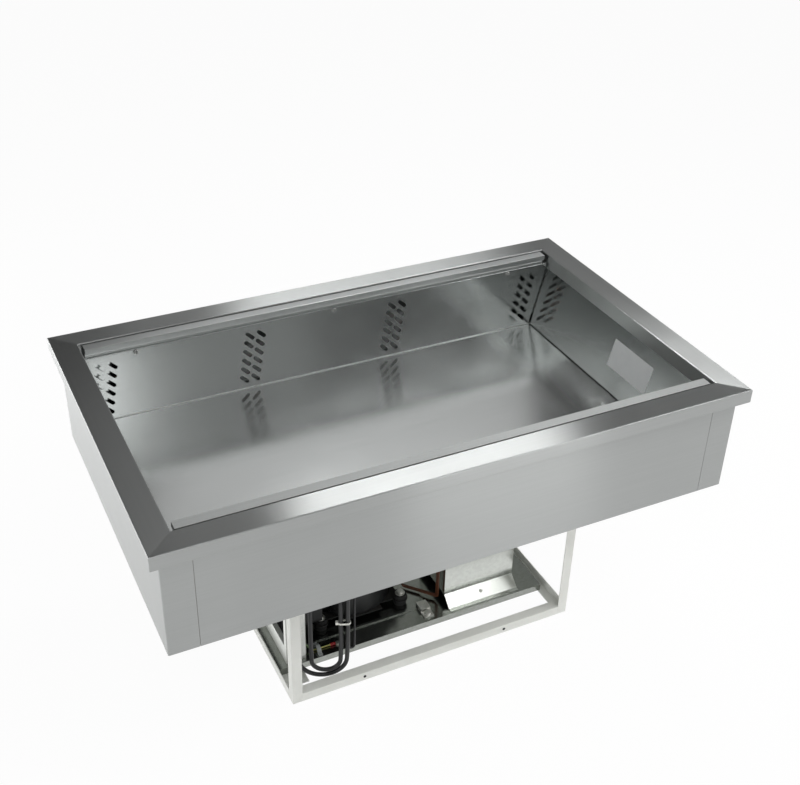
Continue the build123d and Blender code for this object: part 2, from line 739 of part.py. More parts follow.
with BuildPart() as compressor_grommets:
    for low, high, radius in (
        (plate_top, foot_low, GROMMET_RADIUS),
        (foot_low, foot_top, GROMMET_NECK),
        (foot_top, grommet_top, GROMMET_RADIUS),
    ):
        with BuildSketch(Plane.XY.offset(low)):
            with Locations(*bolt_spots):
                Circle(radius)
        extrude(amount=high - low)
    with BuildSketch(Plane.XY.offset(plate_top)):
        with Locations(*bolt_spots):
            Circle(BOLT_RADIUS + HOLE_CLEARANCE)
    extrude(amount=grommet_top - plate_top, mode=Mode.SUBTRACT)
save(compressor_grommets, "compressor_grommets")

with BuildPart() as compressor_bolts:
    with BuildSketch(Plane.XY.offset(plate_top)):
        with Locations(*bolt_spots):
            Circle(BOLT_RADIUS)
    extrude(amount=grommet_top - plate_top)
    with BuildSketch(Plane.XY.offset(grommet_top)):
        with Locations(*bolt_spots):
            Circle(WASHER_RADIUS)
    extrude(amount=WASHER_GAUGE)
    with BuildSketch(Plane.XY.offset(washer_top)):
        with Locations(*bolt_spots):
            RegularPolygon(BOLT_FLATS / 2, 6, major_radius=False)
    extrude(amount=BOLT_HEAD)
save(compressor_bolts, "compressor_bolts")

shell_joint = foot_top + SHELL_LOWER
shell_back = COMPRESSOR_Y + SHELL_WIDTH / 2
stub_end = shell_back + STUB_LENGTH
suction_x = COMPRESSOR_X - STUB_SPREAD
discharge_x = COMPRESSOR_X + STUB_SPREAD
stub_z = shell_joint - STUB_DROP
with BuildPart() as compressor_shell:
    with BuildSketch(Plane.XY.offset(shell_joint)):
        with Locations((COMPRESSOR_X, COMPRESSOR_Y)):
            Ellipse(SHELL_LENGTH / 2, SHELL_WIDTH / 2)
    extrude(amount=SHELL_UPPER)
    fillet(compressor_shell.faces().sort_by(Axis.Z)[-1].edges(), SHELL_CROWN)
    with BuildSketch(Plane.XY.offset(shell_joint)):
        with Locations((COMPRESSOR_X, COMPRESSOR_Y)):
            Ellipse(SHELL_LENGTH / 2 + SHELL_LIP, SHELL_WIDTH / 2 + SHELL_LIP)
    extrude(amount=2 * SHELL_LIP)
    for x in (suction_x, discharge_x):
        with Locations(Plane(origin=(x, COMPRESSOR_Y, stub_z), z_dir=(0, 1, 0))):
            Cylinder(
                PIPE_RADIUS,
                SHELL_WIDTH / 2 + STUB_LENGTH,
                align=(Align.CENTER, Align.CENTER, Align.MIN),
            )
    with BuildSketch(Plane.XY.offset(foot_top)):
        with Locations((COMPRESSOR_X, COMPRESSOR_Y)):
            Ellipse(SHELL_LENGTH / 2, SHELL_WIDTH / 2)
        with Locations(*bolt_spots):
            Circle(GROMMET_RADIUS + HOLE_CLEARANCE, mode=Mode.SUBTRACT)
    extrude(amount=SHELL_LOWER)
    with BuildSketch(Plane.XY.offset(foot_low)):
        with Locations((COMPRESSOR_X, COMPRESSOR_Y)):
            Rectangle(SHELL_LENGTH / 2, BOLT_PITCH_Y + 2 * FOOT_CORNER)
            Rectangle(BOLT_PITCH_X, BOLT_PITCH_Y)
        with Locations(*bolt_spots):
            Circle(FOOT_CORNER)
            Circle(GROMMET_NECK + HOLE_CLEARANCE, mode=Mode.SUBTRACT)
    extrude(amount=FOOT_GAUGE)
save(compressor_shell, "compressor_shell")

cover_x = COMPRESSOR_X + SHELL_LENGTH / 2 - COVER_SINK
cover_low = foot_top + SHELL_LOWER - COVER_HEIGHT
with BuildPart() as compressor_terminal_cover:
    block(
        cover_x,
        cover_x + COVER_DEPTH,
        COMPRESSOR_Y - COVER_WIDTH / 2,
        COMPRESSOR_Y + COVER_WIDTH / 2,
        cover_low,
        cover_low + COVER_HEIGHT,
    )
    fillet(compressor_terminal_cover.faces().sort_by(Axis.X)[-1].edges(), COVER_CORNER)
    with BuildSketch(Plane.XY.offset(cover_low)):
        with Locations((COMPRESSOR_X, COMPRESSOR_Y)):
            Ellipse(SHELL_LENGTH / 2, SHELL_WIDTH / 2)
    extrude(amount=COVER_HEIGHT, mode=Mode.SUBTRACT)
save(compressor_terminal_cover, "compressor_terminal_cover")


# Condenser: a sheet frame round black fins, with one tube going back and forth
coil_x0 = CONDENSER_X + CONDENSER_LIP
coil_x1 = CONDENSER_X + CONDENSER_THICK
cond_half = CONDENSER_DEPTH / 2
cond_top = tray_top + CONDENSER_HEIGHT
sill_top = tray_top + CONDENSER_SILL
head_low = cond_top - CONDENSER_LIP
with BuildPart() as condenser_frame:
    block(CONDENSER_X, coil_x1, -cond_half, cond_half, tray_top, cond_top)
    gauge = CONDENSER_GAUGE
    inner_y = cond_half - gauge
    lip_y = cond_half - CONDENSER_LIP
    block(CONDENSER_X, coil_x1, -lip_y, lip_y, sill_top, head_low, mode=Mode.SUBTRACT)
    block(coil_x0, coil_x1, -inner_y, inner_y, sill_top, cond_top - gauge, mode=Mode.SUBTRACT)
    skin_x = CONDENSER_X + gauge
    block(skin_x, coil_x0, -inner_y, -lip_y, sill_top, cond_top - gauge, mode=Mode.SUBTRACT)
    block(skin_x, coil_x0, lip_y, inner_y, sill_top, cond_top - gauge, mode=Mode.SUBTRACT)
    block(skin_x, coil_x0, -inner_y, inner_y, head_low, cond_top - gauge, mode=Mode.SUBTRACT)
    block(skin_x, coil_x1, -inner_y, inner_y, tray_top + gauge, sill_top - gauge, mode=Mode.SUBTRACT)
    block(coil_x0, coil_x1, -inner_y, inner_y, sill_top - gauge, sill_top, mode=Mode.SUBTRACT)
    pass_first = sill_top + (head_low - sill_top - (PASSES - 1) * PASS_PITCH) / 2
    condenser_levels = [pass_first + i * PASS_PITCH for i in range(PASSES)]
    tube_x = (coil_x0 + coil_x1) / 2
    with BuildSketch(Plane.XZ.offset(-cond_half)):
        with Locations((tube_x, condenser_levels[0]), (tube_x, condenser_levels[-1])):
            Circle(TUBE_RADIUS + HOLE_CLEARANCE)
    extrude(amount=2 * gauge, both=True, mode=Mode.SUBTRACT)
save(condenser_frame, "condenser_frame")

cond_fin_count = int(FIN_SPAN / FIN_PITCH) + 1
cond_fin_ys = [(i - (cond_fin_count - 1) / 2) * FIN_PITCH for i in range(cond_fin_count)]
turn_y = cond_half - BEND_INSET
lane_y = cond_half + PIPE_LANE
condenser_route = [(tube_x, cond_half + STUB_LENGTH, condenser_levels[0])]
for i, z in enumerate(condenser_levels[:-1]):
    end_y = -turn_y if i % 2 == 0 else turn_y
    condenser_route.append((tube_x, end_y, z))
    condenser_route.append((tube_x, end_y, condenser_levels[i + 1]))
condenser_route.append((tube_x, cond_half + STUB_LENGTH, condenser_levels[-1]))
with BuildPart() as condenser_coil:
    with BuildSketch(*[Plane.XZ.offset(y - FIN_GAUGE / 2) for y in cond_fin_ys]):
        with Locations((tube_x, (tray_top + gauge + head_low) / 2)):
            Rectangle(FIN_THICK, head_low - tray_top - gauge)
        with Locations(*[(tube_x, z) for z in condenser_levels]):
            Circle(TUBE_RADIUS + FIN_CLEARANCE, mode=Mode.SUBTRACT)
    extrude(amount=FIN_GAUGE)
    add(rod(condenser_route, PASS_PITCH / 2 - BEND_SLACK, TUBE_RADIUS))
save(condenser_coil, "condenser_coil")

# Condenser fan: a square axial fan on a shroud plate, whose rotor spins about X
fan_z = tray_top + FAN_LIFT
shroud_x = coil_x1 + CONDENSER_GAUGE
fan_end = shroud_x + FAN_DEPTH
with BuildPart() as fan_shroud:
    block(coil_x1, shroud_x, -cond_half, cond_half, tray_top, cond_top)
    with Locations(Plane(origin=(coil_x1, 0, fan_z), z_dir=(1, 0, 0))):
        Cylinder(FAN_BORE, 4 * CONDENSER_GAUGE, mode=Mode.SUBTRACT)
save(fan_shroud, "fan_shroud")

hub_start = fan_end - FAN_SPOKE_DEPTH - END_PLAY
with BuildPart() as fan_frame:
    half = FAN_SIZE / 2
    block(shroud_x, fan_end, -half, half, fan_z - half, fan_z + half)
    fillet(fan_frame.edges().filter_by(Axis.X), FAN_CORNER)
    with Locations(Plane(origin=(shroud_x, 0, fan_z), z_dir=(1, 0, 0))):
        Cylinder(FAN_BORE, 2 * FAN_DEPTH, mode=Mode.SUBTRACT)
    with Locations(Plane(origin=(fan_end, 0, fan_z), z_dir=(-1, 0, 0))):
        Cylinder(FAN_BOSS, FAN_SPOKE_DEPTH, align=(Align.CENTER, Align.CENTER, Align.MIN))
    for i in range(FAN_SPOKES):
        turn = 2 * pi * (i + 0.5) / FAN_SPOKES
        spoke_dir = (0, cos(turn), sin(turn))
        with Locations(Plane(origin=(fan_end, 0, fan_z), x_dir=spoke_dir, z_dir=(-1, 0, 0))):
            Box(
                FAN_BORE + FAN_SPOKE_DEPTH / 2,
                FAN_SPOKE_WIDTH,
                FAN_SPOKE_DEPTH,
                align=(Align.MIN, Align.CENTER, Align.MIN),
            )
    with Locations(Plane(origin=(fan_end, 0, fan_z), z_dir=(-1, 0, 0))):
        Cylinder(FAN_SHAFT + SHAFT_CLEARANCE, 4 * FAN_SPOKE_DEPTH, mode=Mode.SUBTRACT)
save(fan_frame, "fan_frame")

with BuildPart() as fan_rotor:
    hub_plane = Plane(origin=(hub_start, 0, fan_z), z_dir=(-1, 0, 0))
    with Locations(hub_plane.offset(FAN_HUB_DEPTH / 2)):
        with PolarLocations(0, FAN_BLADES):
            Box(
                2 * FAN_TIP,
                FAN_CHORD,
                FAN_BLADE_GAUGE,
                rotation=(FAN_PITCH_ANGLE, 0, 0),
                align=(Align.MIN, Align.CENTER, Align.CENTER),
            )
    with Locations(hub_plane):
        Cylinder(
            FAN_TIP, FAN_HUB_DEPTH, align=(Align.CENTER, Align.CENTER, Align.MIN), mode=Mode.INTERSECT
        )
        Cylinder(FAN_HUB, FAN_HUB_DEPTH, align=(Align.CENTER, Align.CENTER, Align.MIN))
    with Locations(hub_plane):
        Cylinder(FAN_SHAFT, FAN_SPOKE_DEPTH + END_PLAY, align=(Align.CENTER, Align.CENTER, Align.MAX))
save(fan_rotor, "fan_rotor")


# Refrigerant pipes: copper runs brazed together with the drier and its capillary
suction_route = [
    (suction_x, stub_end, stub_z),
    (suction_x, stub_end + 2 * PIPE_BEND, stub_z),
    (suction_x, stub_end + 2 * PIPE_BEND, casing_floor),
]
coil_end = cond_half + STUB_LENGTH
discharge_route = [
    (discharge_x, stub_end, stub_z),
    (discharge_x, lane_y, stub_z),
    (discharge_x, lane_y, condenser_levels[-1]),
    (tube_x, lane_y, condenser_levels[-1]),
    (tube_x, coil_end, condenser_levels[-1]),
]
liquid_route = [
    (tube_x, coil_end, condenser_levels[0]),
    (tube_x, lane_y, condenser_levels[0]),
    (DRIER_X, lane_y, condenser_levels[0]),
]
drier_end = DRIER_X + DRIER_LENGTH
capillary_route = [
    (drier_end, lane_y, condenser_levels[0]),
    (drier_end + 2 * PIPE_BEND, lane_y, condenser_levels[0]),
    (drier_end + 2 * PIPE_BEND, lane_y, casing_floor),
]
with BuildPart() as drier:
    with Locations(Plane(origin=(DRIER_X, lane_y, condenser_levels[0]), z_dir=(1, 0, 0))):
        Cylinder(DRIER_RADIUS, DRIER_LENGTH, align=(Align.CENTER, Align.CENTER, Align.MIN))
    fillet(drier.edges().filter_by(GeomType.CIRCLE), DRIER_RADIUS / 2)

with BuildPart() as refrigerant_pipes:
    add(rod(suction_route, PIPE_BEND, PIPE_RADIUS))
    add(rod(discharge_route, ELBOW_BEND, PIPE_RADIUS))
    add(drier.part)
    add(rod(liquid_route, ELBOW_BEND, LIQUID_RADIUS))
    add(rod(capillary_route, PIPE_BEND, CAPILLARY_RADIUS))
save(refrigerant_pipes, "refrigerant_pipes")


# Control box: a folded sheet box raised on two sloping feet, with a lid
box_low = tray_top + BOX_LIFT
box_top = box_low + BOX_HEIGHT
box_x1 = BOX_X + BOX_LENGTH
box_y1 = BOX_Y + BOX_DEPTH
knob_x = BOX_X + KNOB_X
control_z = box_low + CONTROL_LIFT
switch_x = BOX_X + SWITCH_X
tub_length = SWITCH_LENGTH - 2 * SWITCH_BEZEL
tub_width = SWITCH_WIDTH - 2 * SWITCH_BEZEL
with BuildPart() as control_box:
    block(BOX_X, box_x1, BOX_Y, box_y1, box_low, box_top)
    block(
        BOX_X + BOX_GAUGE,
        box_x1 - BOX_GAUGE,
        BOX_Y + BOX_GAUGE,
        box_y1 - BOX_GAUGE,
        box_low + BOX_GAUGE,
        box_top,
        mode=Mode.SUBTRACT,
    )
    with BuildSketch(Plane.XZ.offset(-BOX_Y)):
        with Locations((knob_x, control_z)):
            Circle(SPINDLE_RADIUS + SPINDLE_CLEARANCE)
        with Locations((switch_x, control_z)):
            Rectangle(tub_width + 2 * HOLE_CLEARANCE, tub_length + 2 * HOLE_CLEARANCE)
    extrude(amount=2 * BOX_GAUGE, both=True, mode=Mode.SUBTRACT)
    for face, side in ((BOX_Y, -1), (box_y1, 1)):
        toe = face + side * BOX_LIFT
        tip = toe + side * BOX_FOOT_TOE
        skin = BOX_FOOT_GAUGE
        tab = face - side * BOX_FOOT_TAB
        with BuildSketch(Plane.YZ.offset(BOX_X)):
            Polygon(
                (face, box_low),
                (toe, tray_top + skin),
                (tip, tray_top + skin),
                (tip, tray_top),
                (toe - side * skin / 2, tray_top),
                (face - side * skin, box_low - skin / 2),
                (tab, box_low - skin / 2),
                (tab, box_low),
                align=None,
            )
        extrude(amount=BOX_LENGTH)
save(control_box, "control_box")

with BuildPart() as control_box_lid:
    block(BOX_X, box_x1, BOX_Y, box_y1, box_top, box_top + BOX_GAUGE)
save(control_box_lid, "control_box_lid")

# Thermostat behind the box front, and the knob on its spindle
body_front = BOX_Y + BOX_GAUGE
with BuildPart() as thermostat_body:
    half = THERMOSTAT_SIZE / 2
    body_back = body_front + THERMOSTAT_DEPTH
    block(knob_x - half, knob_x + half, body_front, body_back, control_z - half, control_z + half)
    with Locations(Plane(origin=(knob_x, body_front, control_z), z_dir=(0, 1, 0))):
        Cylinder(SPINDLE_RADIUS + SHAFT_CLEARANCE, 2 * SPINDLE_DEPTH, mode=Mode.SUBTRACT)
save(thermostat_body, "thermostat_body")

knob_back = BOX_Y - KNOB_GAP
with BuildPart() as thermostat_knob:
    with Locations(Plane(origin=(knob_x, knob_back, control_z), x_dir=(1, 0, 0), z_dir=(0, -1, 0))):
        Cylinder(KNOB_RADIUS, KNOB_SKIRT, align=(Align.CENTER, Align.CENTER, Align.MIN))
        Cylinder(KNOB_RADIUS * KNOB_TAPER, KNOB_HEIGHT, align=(Align.CENTER, Align.CENTER, Align.MIN))
        Box(
            KNOB_GRIP, 2 * KNOB_RADIUS * KNOB_TAPER, KNOB_HEIGHT + KNOB_SKIRT,
            align=(Align.CENTER, Align.CENTER, Align.MIN),
        )
        Cylinder(
            SPINDLE_RADIUS,
            KNOB_GAP + BOX_GAUGE + SPINDLE_DEPTH - END_PLAY,
            align=(Align.CENTER, Align.CENTER, Align.MAX),
        )
save(thermostat_knob, "thermostat_knob")

# Power switch: an open tub with a rocker on its pin
switch_front = BOX_Y - SWITCH_BEZEL
well_width = tub_width - 2 * SWITCH_WALL
well_length = tub_length - 2 * SWITCH_WALL
pivot_y = BOX_Y + ROCKER_HEIGHT / 2
with BuildPart() as switch_body:
    with BuildSketch(Plane.XZ.offset(-switch_front)):
        with Locations((switch_x, control_z)):
            RectangleRounded(SWITCH_WIDTH, SWITCH_LENGTH, SWITCH_BEZEL)
    extrude(amount=-SWITCH_BEZEL)
    half_w, half_l = tub_width / 2, tub_length / 2
    block(
        switch_x - half_w, switch_x + half_w, BOX_Y, BOX_Y + SWITCH_BODY_DEPTH,
        control_z - half_l, control_z + half_l,
    )
    half_w, half_l = well_width / 2, well_length / 2
    block(
        switch_x - half_w, switch_x + half_w, switch_front, BOX_Y + SWITCH_BODY_DEPTH - SWITCH_WALL,
        control_z - half_l, control_z + half_l, mode=Mode.SUBTRACT,
    )
    with Locations(Plane(origin=(switch_x, pivot_y, control_z), z_dir=(1, 0, 0))):
        Cylinder(ROCKER_PIN + SHAFT_CLEARANCE, well_width + SWITCH_WALL, mode=Mode.SUBTRACT)
save(switch_body, "switch_body")

rocker_half = well_width / 2 - ROCKER_SIDE_GAP
tilt = radians(ROCKER_TILT)
reach = ROCKER_LENGTH / 2
with BuildPart() as switch_rocker:
    with BuildSketch(Plane.YZ.offset(switch_x - rocker_half)):
        with BuildLine():
            crown = (pivot_y - ROCKER_HEIGHT, control_z)
            low_tip = (crown[0], control_z - reach)
            low_heel = (low_tip[0] + ROCKER_HEIGHT, low_tip[1])
            high_tip = (crown[0] + reach * sin(tilt), control_z + reach * cos(tilt))
            high_heel = (high_tip[0] + ROCKER_HEIGHT, high_tip[1] - ROCKER_HEIGHT * sin(tilt))
            throat = (pivot_y + ROCKER_PIN, control_z)
            Polyline(crown, high_tip, high_heel, throat, low_heel, low_tip, close=True)
        make_face()
        with Locations((pivot_y, control_z)):
            Circle(2 * ROCKER_PIN)
    extrude(amount=2 * rocker_half)
    with Locations(Plane(origin=(switch_x, pivot_y, control_z), z_dir=(1, 0, 0))):
        Cylinder(ROCKER_PIN, well_width + SWITCH_WALL - SHAFT_CLEARANCE)
save(switch_rocker, "switch_rocker")


# Mains lead: tapered gland under the casing, an easy offset bend, then the tied hank and its plug
gland_tip = casing_floor - GLAND_LENGTH
with BuildPart() as cord_gland:
    with Locations((CORD_X, GLAND_Y, casing_floor)):
        Cone(
            GLAND_TIP_RADIUS,
            GLAND_TOP_RADIUS,
            GLAND_LENGTH,
            align=(Align.CENTER, Align.CENTER, Align.MAX),
        )
save(cord_gland, "cord_gland")

lead_points = [
    (CORD_X, GLAND_Y, gland_tip),
    (CORD_X, GLAND_Y, gland_tip - LEAD_STRAIGHT),
    (CORD_X, CORD_Y, gland_tip - LEAD_STRAIGHT - LEAD_OFFSET_DROP),
    (CORD_X, CORD_Y, gland_tip - 2 * LEAD_STRAIGHT - LEAD_OFFSET_DROP),
]
lead_radii = run_radii(lead_points)
print("mains_lead bend radii", [round(r, 1) for r in lead_radii])
with BuildPart() as mains_lead:
    add(rod(lead_points, lead_radii, CORD_RADIUS))
save(mains_lead, "mains_lead")

hank_start = lead_points[-1][2]
plug_top = hank_top - HANK_END_RUN


def hank_spot(along):
    """Place a run of the hank by its distance to the left of the first run."""
    turn = radians(HANK_TURN)
    return CORD_X - along * cos(turn), CORD_Y + along * sin(turn)


def middle_of(start, end):
    """Find the point halfway between two runs."""
    return (start[0] + end[0]) / 2, (start[1] + end[1]) / 2


def half_turn(start, end, level, up):
    """Draw half a turn of the hank between two runs at one level."""
    rise = dist(start, end) / 2 * (1 if up else -1)
    ThreePointArc((*start, level), (*middle_of(start, end), level + rise), (*end, level))


inner_right, inner_left = hank_spot(0), hank_spot(HANK_INNER_LEFT)
outer_right, outer_left = hank_spot(HANK_OUTER_RIGHT), hank_spot(HANK_OUTER_LEFT)
plug_spot = (PLUG_X, PLUG_Y)
with BuildPart() as mains_hank:
    with BuildLine() as hank_route:
        Line((*inner_right, hank_start), (*inner_right, HANK_INNER_LOW))
        half_turn(inner_right, inner_left, HANK_INNER_LOW, up=False)
        Line((*inner_left, HANK_INNER_LOW), (*inner_left, hank_top))
        half_turn(inner_left, outer_right, hank_top, up=True)
        Line((*outer_right, hank_top), (*outer_right, HANK_OUTER_LOW))
        half_turn(outer_right, outer_left, HANK_OUTER_LOW, up=False)
        Line((*outer_left, HANK_OUTER_LOW), (*outer_left, hank_top))
        half_turn(outer_left, plug_spot, hank_top, up=True)
        Line((*plug_spot, hank_top), (*plug_spot, plug_top))
    with BuildSketch(Plane(origin=hank_route.line @ 0, z_dir=hank_route.line % 0)):
        Circle(CORD_RADIUS)
    sweep()
save(mains_hank, "mains_hank")


def least_gap(line, radius, samples):
    """Measure the least clear gap between stretches of one tube that are far apart along it."""
    points = [line.position_at(i / samples) for i in range(samples + 1)]
    apart = int(samples * pi * 2 * radius / line.length) + 2
    gaps = [
        (points[j] - points[i]).length - 2 * radius
        for i in range(0, samples, 2)
        for j in range(i + apart, samples, 2)
    ]
    return min(gaps)


hank_wire = hank_route.wire()
print(f"mains_hank: length {hank_wire.length:.1f}, least gap {least_gap(hank_wire, CORD_RADIUS, 500):.2f}")

with BuildPart() as mains_plug:
    with Locations((*plug_spot, plug_top)):
        Cone(
            PLUG_NECK,
            GLAND_TIP_RADIUS,
            PLUG_RELIEF,
            align=(Align.CENTER, Align.CENTER, Align.MAX),
        )
    body_top = plug_top - PLUG_RELIEF
    with Locations((*plug_spot, body_top)):
        Box(PLUG_LENGTH, PLUG_WIDTH, PLUG_BODY, align=(Align.CENTER, Align.CENTER, Align.MAX))
    fillet(mains_plug.edges().filter_by(Axis.Z), PLUG_CORNER)
    with Locations((*plug_spot, body_top - PLUG_BODY)):
        with GridLocations(PLUG_PIN_PITCH, 0, 2, 1):
            Cylinder(
                PLUG_PIN_RADIUS, PLUG_PIN_LENGTH, align=(Align.CENTER, Align.CENTER, Align.MAX)
            )
save(mains_plug, "mains_plug")

tie_z = hank_start - TIE_DROP
tie_middle = middle_of(inner_right, outer_right)
tie_inner = CORD_RADIUS + TIE_GAP
tie_span = dist(inner_right, outer_right)
tie_edge = hank_spot(tie_inner + TIE_GAUGE / 2)
with BuildPart() as cord_tie:
    with BuildSketch(Plane.XY.offset(tie_z - TIE_HEIGHT / 2)):
        with Locations(Location(tie_middle, -HANK_TURN)):
            SlotCenterToCenter(tie_span, 2 * (tie_inner + TIE_GAUGE))
            SlotCenterToCenter(tie_span, 2 * tie_inner, mode=Mode.SUBTRACT)
    extrude(amount=TIE_HEIGHT)
    with Locations(Location((*tie_edge, tie_z), (0, 0, -HANK_TURN))):
        Box(TIE_HEAD - TIE_GAUGE, TIE_HEAD, TIE_HEAD, align=(Align.MAX, Align.CENTER, Align.CENTER))
save(cord_tie, "cord_tie")

hook_x, hook_y = middle_of(inner_left, outer_right)
arch_inside = hank_top + dist(inner_left, outer_right) / 2 - CORD_RADIUS
hook_z = arch_inside - REST_GAP - HOOK_RADIUS
hook_back = hook_y + HOOK_SETBACK
hook_top = casing_floor - HOOK_PLATE_GAUGE
hook_route = [
    (hook_x, hook_back, hook_top),
    (hook_x, hook_back, hook_z),
    (hook_x, hook_y - HOOK_REACH, hook_z),
    (hook_x, hook_y - HOOK_REACH, hook_z + HOOK_TIP),
]
with BuildPart() as cord_hook:
    add(rod(hook_route, HOOK_BEND, HOOK_RADIUS))
    with Locations((hook_x, hook_back, hook_top)):
        Box(HOOK_PLATE, HOOK_PLATE, HOOK_PLATE_GAUGE, align=(Align.CENTER, Align.CENTER, Align.MIN))
save(cord_hook, "cord_hook")


# Thin leads that both ends hold: probe lead, earth wire and control wires
probe_far = PROBE_X + 2 * PROBE_BEND
with BuildPart() as probe_lead:
    with BuildLine() as probe_route:
        Line((PROBE_X, PROBE_Y, casing_floor), (PROBE_X, PROBE_Y, PROBE_LOW))
        ThreePointArc(
            (PROBE_X, PROBE_Y, PROBE_LOW),
            (PROBE_X + PROBE_BEND, PROBE_Y, PROBE_LOW - PROBE_BEND),
            (probe_far, PROBE_Y, PROBE_LOW),
        )
        Line((probe_far, PROBE_Y, PROBE_LOW), (probe_far, PROBE_Y, casing_floor))
    with BuildSketch(Plane(origin=probe_route.line @ 0, z_dir=probe_route.line % 0)):
        Circle(PROBE_RADIUS)
    sweep()
save(probe_lead, "probe_lead")

lug_top = tray_top + EARTH_LUG_GAUGE
wire_z = tray_top + EARTH_SLEEVE_RADIUS
sleeve_start = EARTH_X - EARTH_LUG_RADIUS
wire_start = sleeve_start - EARTH_SLEEVE_LENGTH
earth_rise = ARCH_RADIUS
earth_route = [
    (wire_start, EARTH_Y, wire_z),
    (ARCH_X - ARCH_RADIUS, EARTH_Y, wire_z),
    (shroud_x + ARCH_RADIUS, EARTH_Y + earth_rise, wire_z + earth_rise),
    (shroud_x, EARTH_Y + earth_rise, wire_z + earth_rise),
]
with BuildPart() as earth_wire:
    with BuildSketch(Plane.XY.offset(tray_top)):
        with Locations((EARTH_X, EARTH_Y)):
            Circle(EARTH_LUG_RADIUS)
    extrude(amount=EARTH_LUG_GAUGE)
    with BuildSketch(Plane.XY.offset(lug_top)):
        with Locations((EARTH_X, EARTH_Y)):
            Circle(EARTH_SCREW_RADIUS)
    extrude(amount=EARTH_SCREW_HEAD)
    with Locations(Plane(origin=(sleeve_start, EARTH_Y, wire_z), z_dir=(-1, 0, 0))):
        Cylinder(EARTH_SLEEVE_RADIUS, EARTH_SLEEVE_LENGTH, align=(Align.CENTER, Align.CENTER, Align.MIN))
    add(rod(earth_route, EARTH_BEND, EARTH_RADIUS))
save(earth_wire, "earth_wire")

with BuildPart() as wire_arch:
    with BuildSketch(Plane.YZ.offset(ARCH_X)):
        with Locations((EARTH_Y, tray_top)):
            Circle(ARCH_RADIUS + ARCH_GAUGE)
            Rectangle(2 * (ARCH_RADIUS + ARCH_FOOT), 2 * ARCH_GAUGE)
            Circle(ARCH_RADIUS, mode=Mode.SUBTRACT)
    extrude(amount=ARCH_WIDTH)
    split(bisect_by=Plane.XY.offset(tray_top), keep=Keep.TOP)
save(wire_arch, "wire_arch")

wire_top = box_top - WIRE_DROP
wire_out = BOX_X - 2 * WIRE_PITCH
cover_face = cover_x + COVER_DEPTH
wire_stand = cover_face + WIRE_STAND_OFF
wire_low = plate_top + WIRE_CLEAR
wire_entry = cover_low + WIRE_RISE
with BuildPart() as control_wires:
    for i in range(WIRE_COUNT):
        lane = BOX_Y + WIRE_INSET + i * WIRE_PITCH
        cover_lane = COMPRESSOR_Y - COVER_WIDTH / 2 + WIRE_INSET + i * WIRE_PITCH
        wire_route = [
            (BOX_X, lane, wire_top),
            (wire_out, lane, wire_top),
            (wire_out, lane, wire_low),
            (wire_stand, cover_lane, wire_low),
            (wire_stand, cover_lane, wire_entry),
            (cover_face, cover_lane, wire_entry),
        ]
        add(rod(wire_route, WIRE_BEND, WIRE_RADIUS))
save(control_wires, "control_wires")

# Clamp that holds the compressor plate's front edge to the tray, by its right corner
clamp_right = COMPRESSOR_X + BASE_PLATE_LENGTH / 2
clamp_left = clamp_right - CLAMP_WIDTH
clamp_edge = COMPRESSOR_Y - BASE_PLATE_DEPTH / 2
clamp_step = clamp_edge - CLAMP_BODY
clamp_front = clamp_step - CLAMP_FOOT
clamp_top = plate_top + CLAMP_RISE
foot_level = tray_top + CLAMP_FOOT_GAUGE
with BuildPart() as plate_clamp:
    block(clamp_left, clamp_right, clamp_edge, clamp_edge + CLAMP_LIP, plate_top, clamp_top)
    block(clamp_left, clamp_right, clamp_step, clamp_edge, tray_top, clamp_top)
    block(clamp_left, clamp_right, clamp_front, clamp_step, tray_top, foot_level)
    with BuildSketch(Plane.XY.offset(foot_level)):
        with Locations(((clamp_left + clamp_right) / 2, (clamp_front + clamp_step) / 2)):
            RegularPolygon(BOLT_FLATS / 2, 6, major_radius=False)
    extrude(amount=BOLT_HEAD)
save(plate_clamp, "plate_clamp")
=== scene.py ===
"""Refrigerated drop-in well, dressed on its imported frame: sheet metal, machine unit, cord and studio."""
from __future__ import annotations

import json
import logging
import math
from dataclasses import dataclass
from enum import Enum
from typing import Callable, Iterable, Sequence

import bpy
from mathutils import Matrix, Vector

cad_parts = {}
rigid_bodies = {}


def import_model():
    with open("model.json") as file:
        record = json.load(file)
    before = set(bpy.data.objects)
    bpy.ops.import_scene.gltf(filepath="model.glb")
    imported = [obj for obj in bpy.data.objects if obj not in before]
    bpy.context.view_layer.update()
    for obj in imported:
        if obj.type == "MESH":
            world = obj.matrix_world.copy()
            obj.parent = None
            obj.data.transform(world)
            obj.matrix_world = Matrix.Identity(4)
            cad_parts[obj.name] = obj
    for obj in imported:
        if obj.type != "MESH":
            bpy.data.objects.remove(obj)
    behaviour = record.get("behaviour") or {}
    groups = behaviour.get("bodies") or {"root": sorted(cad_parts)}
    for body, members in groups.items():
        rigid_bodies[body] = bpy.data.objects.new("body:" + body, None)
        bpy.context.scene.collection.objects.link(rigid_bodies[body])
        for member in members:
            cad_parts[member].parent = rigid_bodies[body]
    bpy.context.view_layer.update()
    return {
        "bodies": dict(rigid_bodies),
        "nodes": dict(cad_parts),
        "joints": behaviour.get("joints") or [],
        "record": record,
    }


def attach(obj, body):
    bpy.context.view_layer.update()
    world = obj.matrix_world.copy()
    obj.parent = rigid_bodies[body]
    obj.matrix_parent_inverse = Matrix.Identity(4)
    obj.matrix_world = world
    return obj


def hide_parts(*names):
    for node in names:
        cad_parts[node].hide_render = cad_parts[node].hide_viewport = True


log = logging.getLogger("drop_in_well")

Point = tuple[float, float, float]
EdgeTest = Callable[[Vector, Vector], bool]

MM = 0.001
ROOT_BODY = "well"
SHADER = "Principled BSDF"
QUARTER_TURN = 0.25
UPRIGHT = (0.0, 0.0, 1.0)

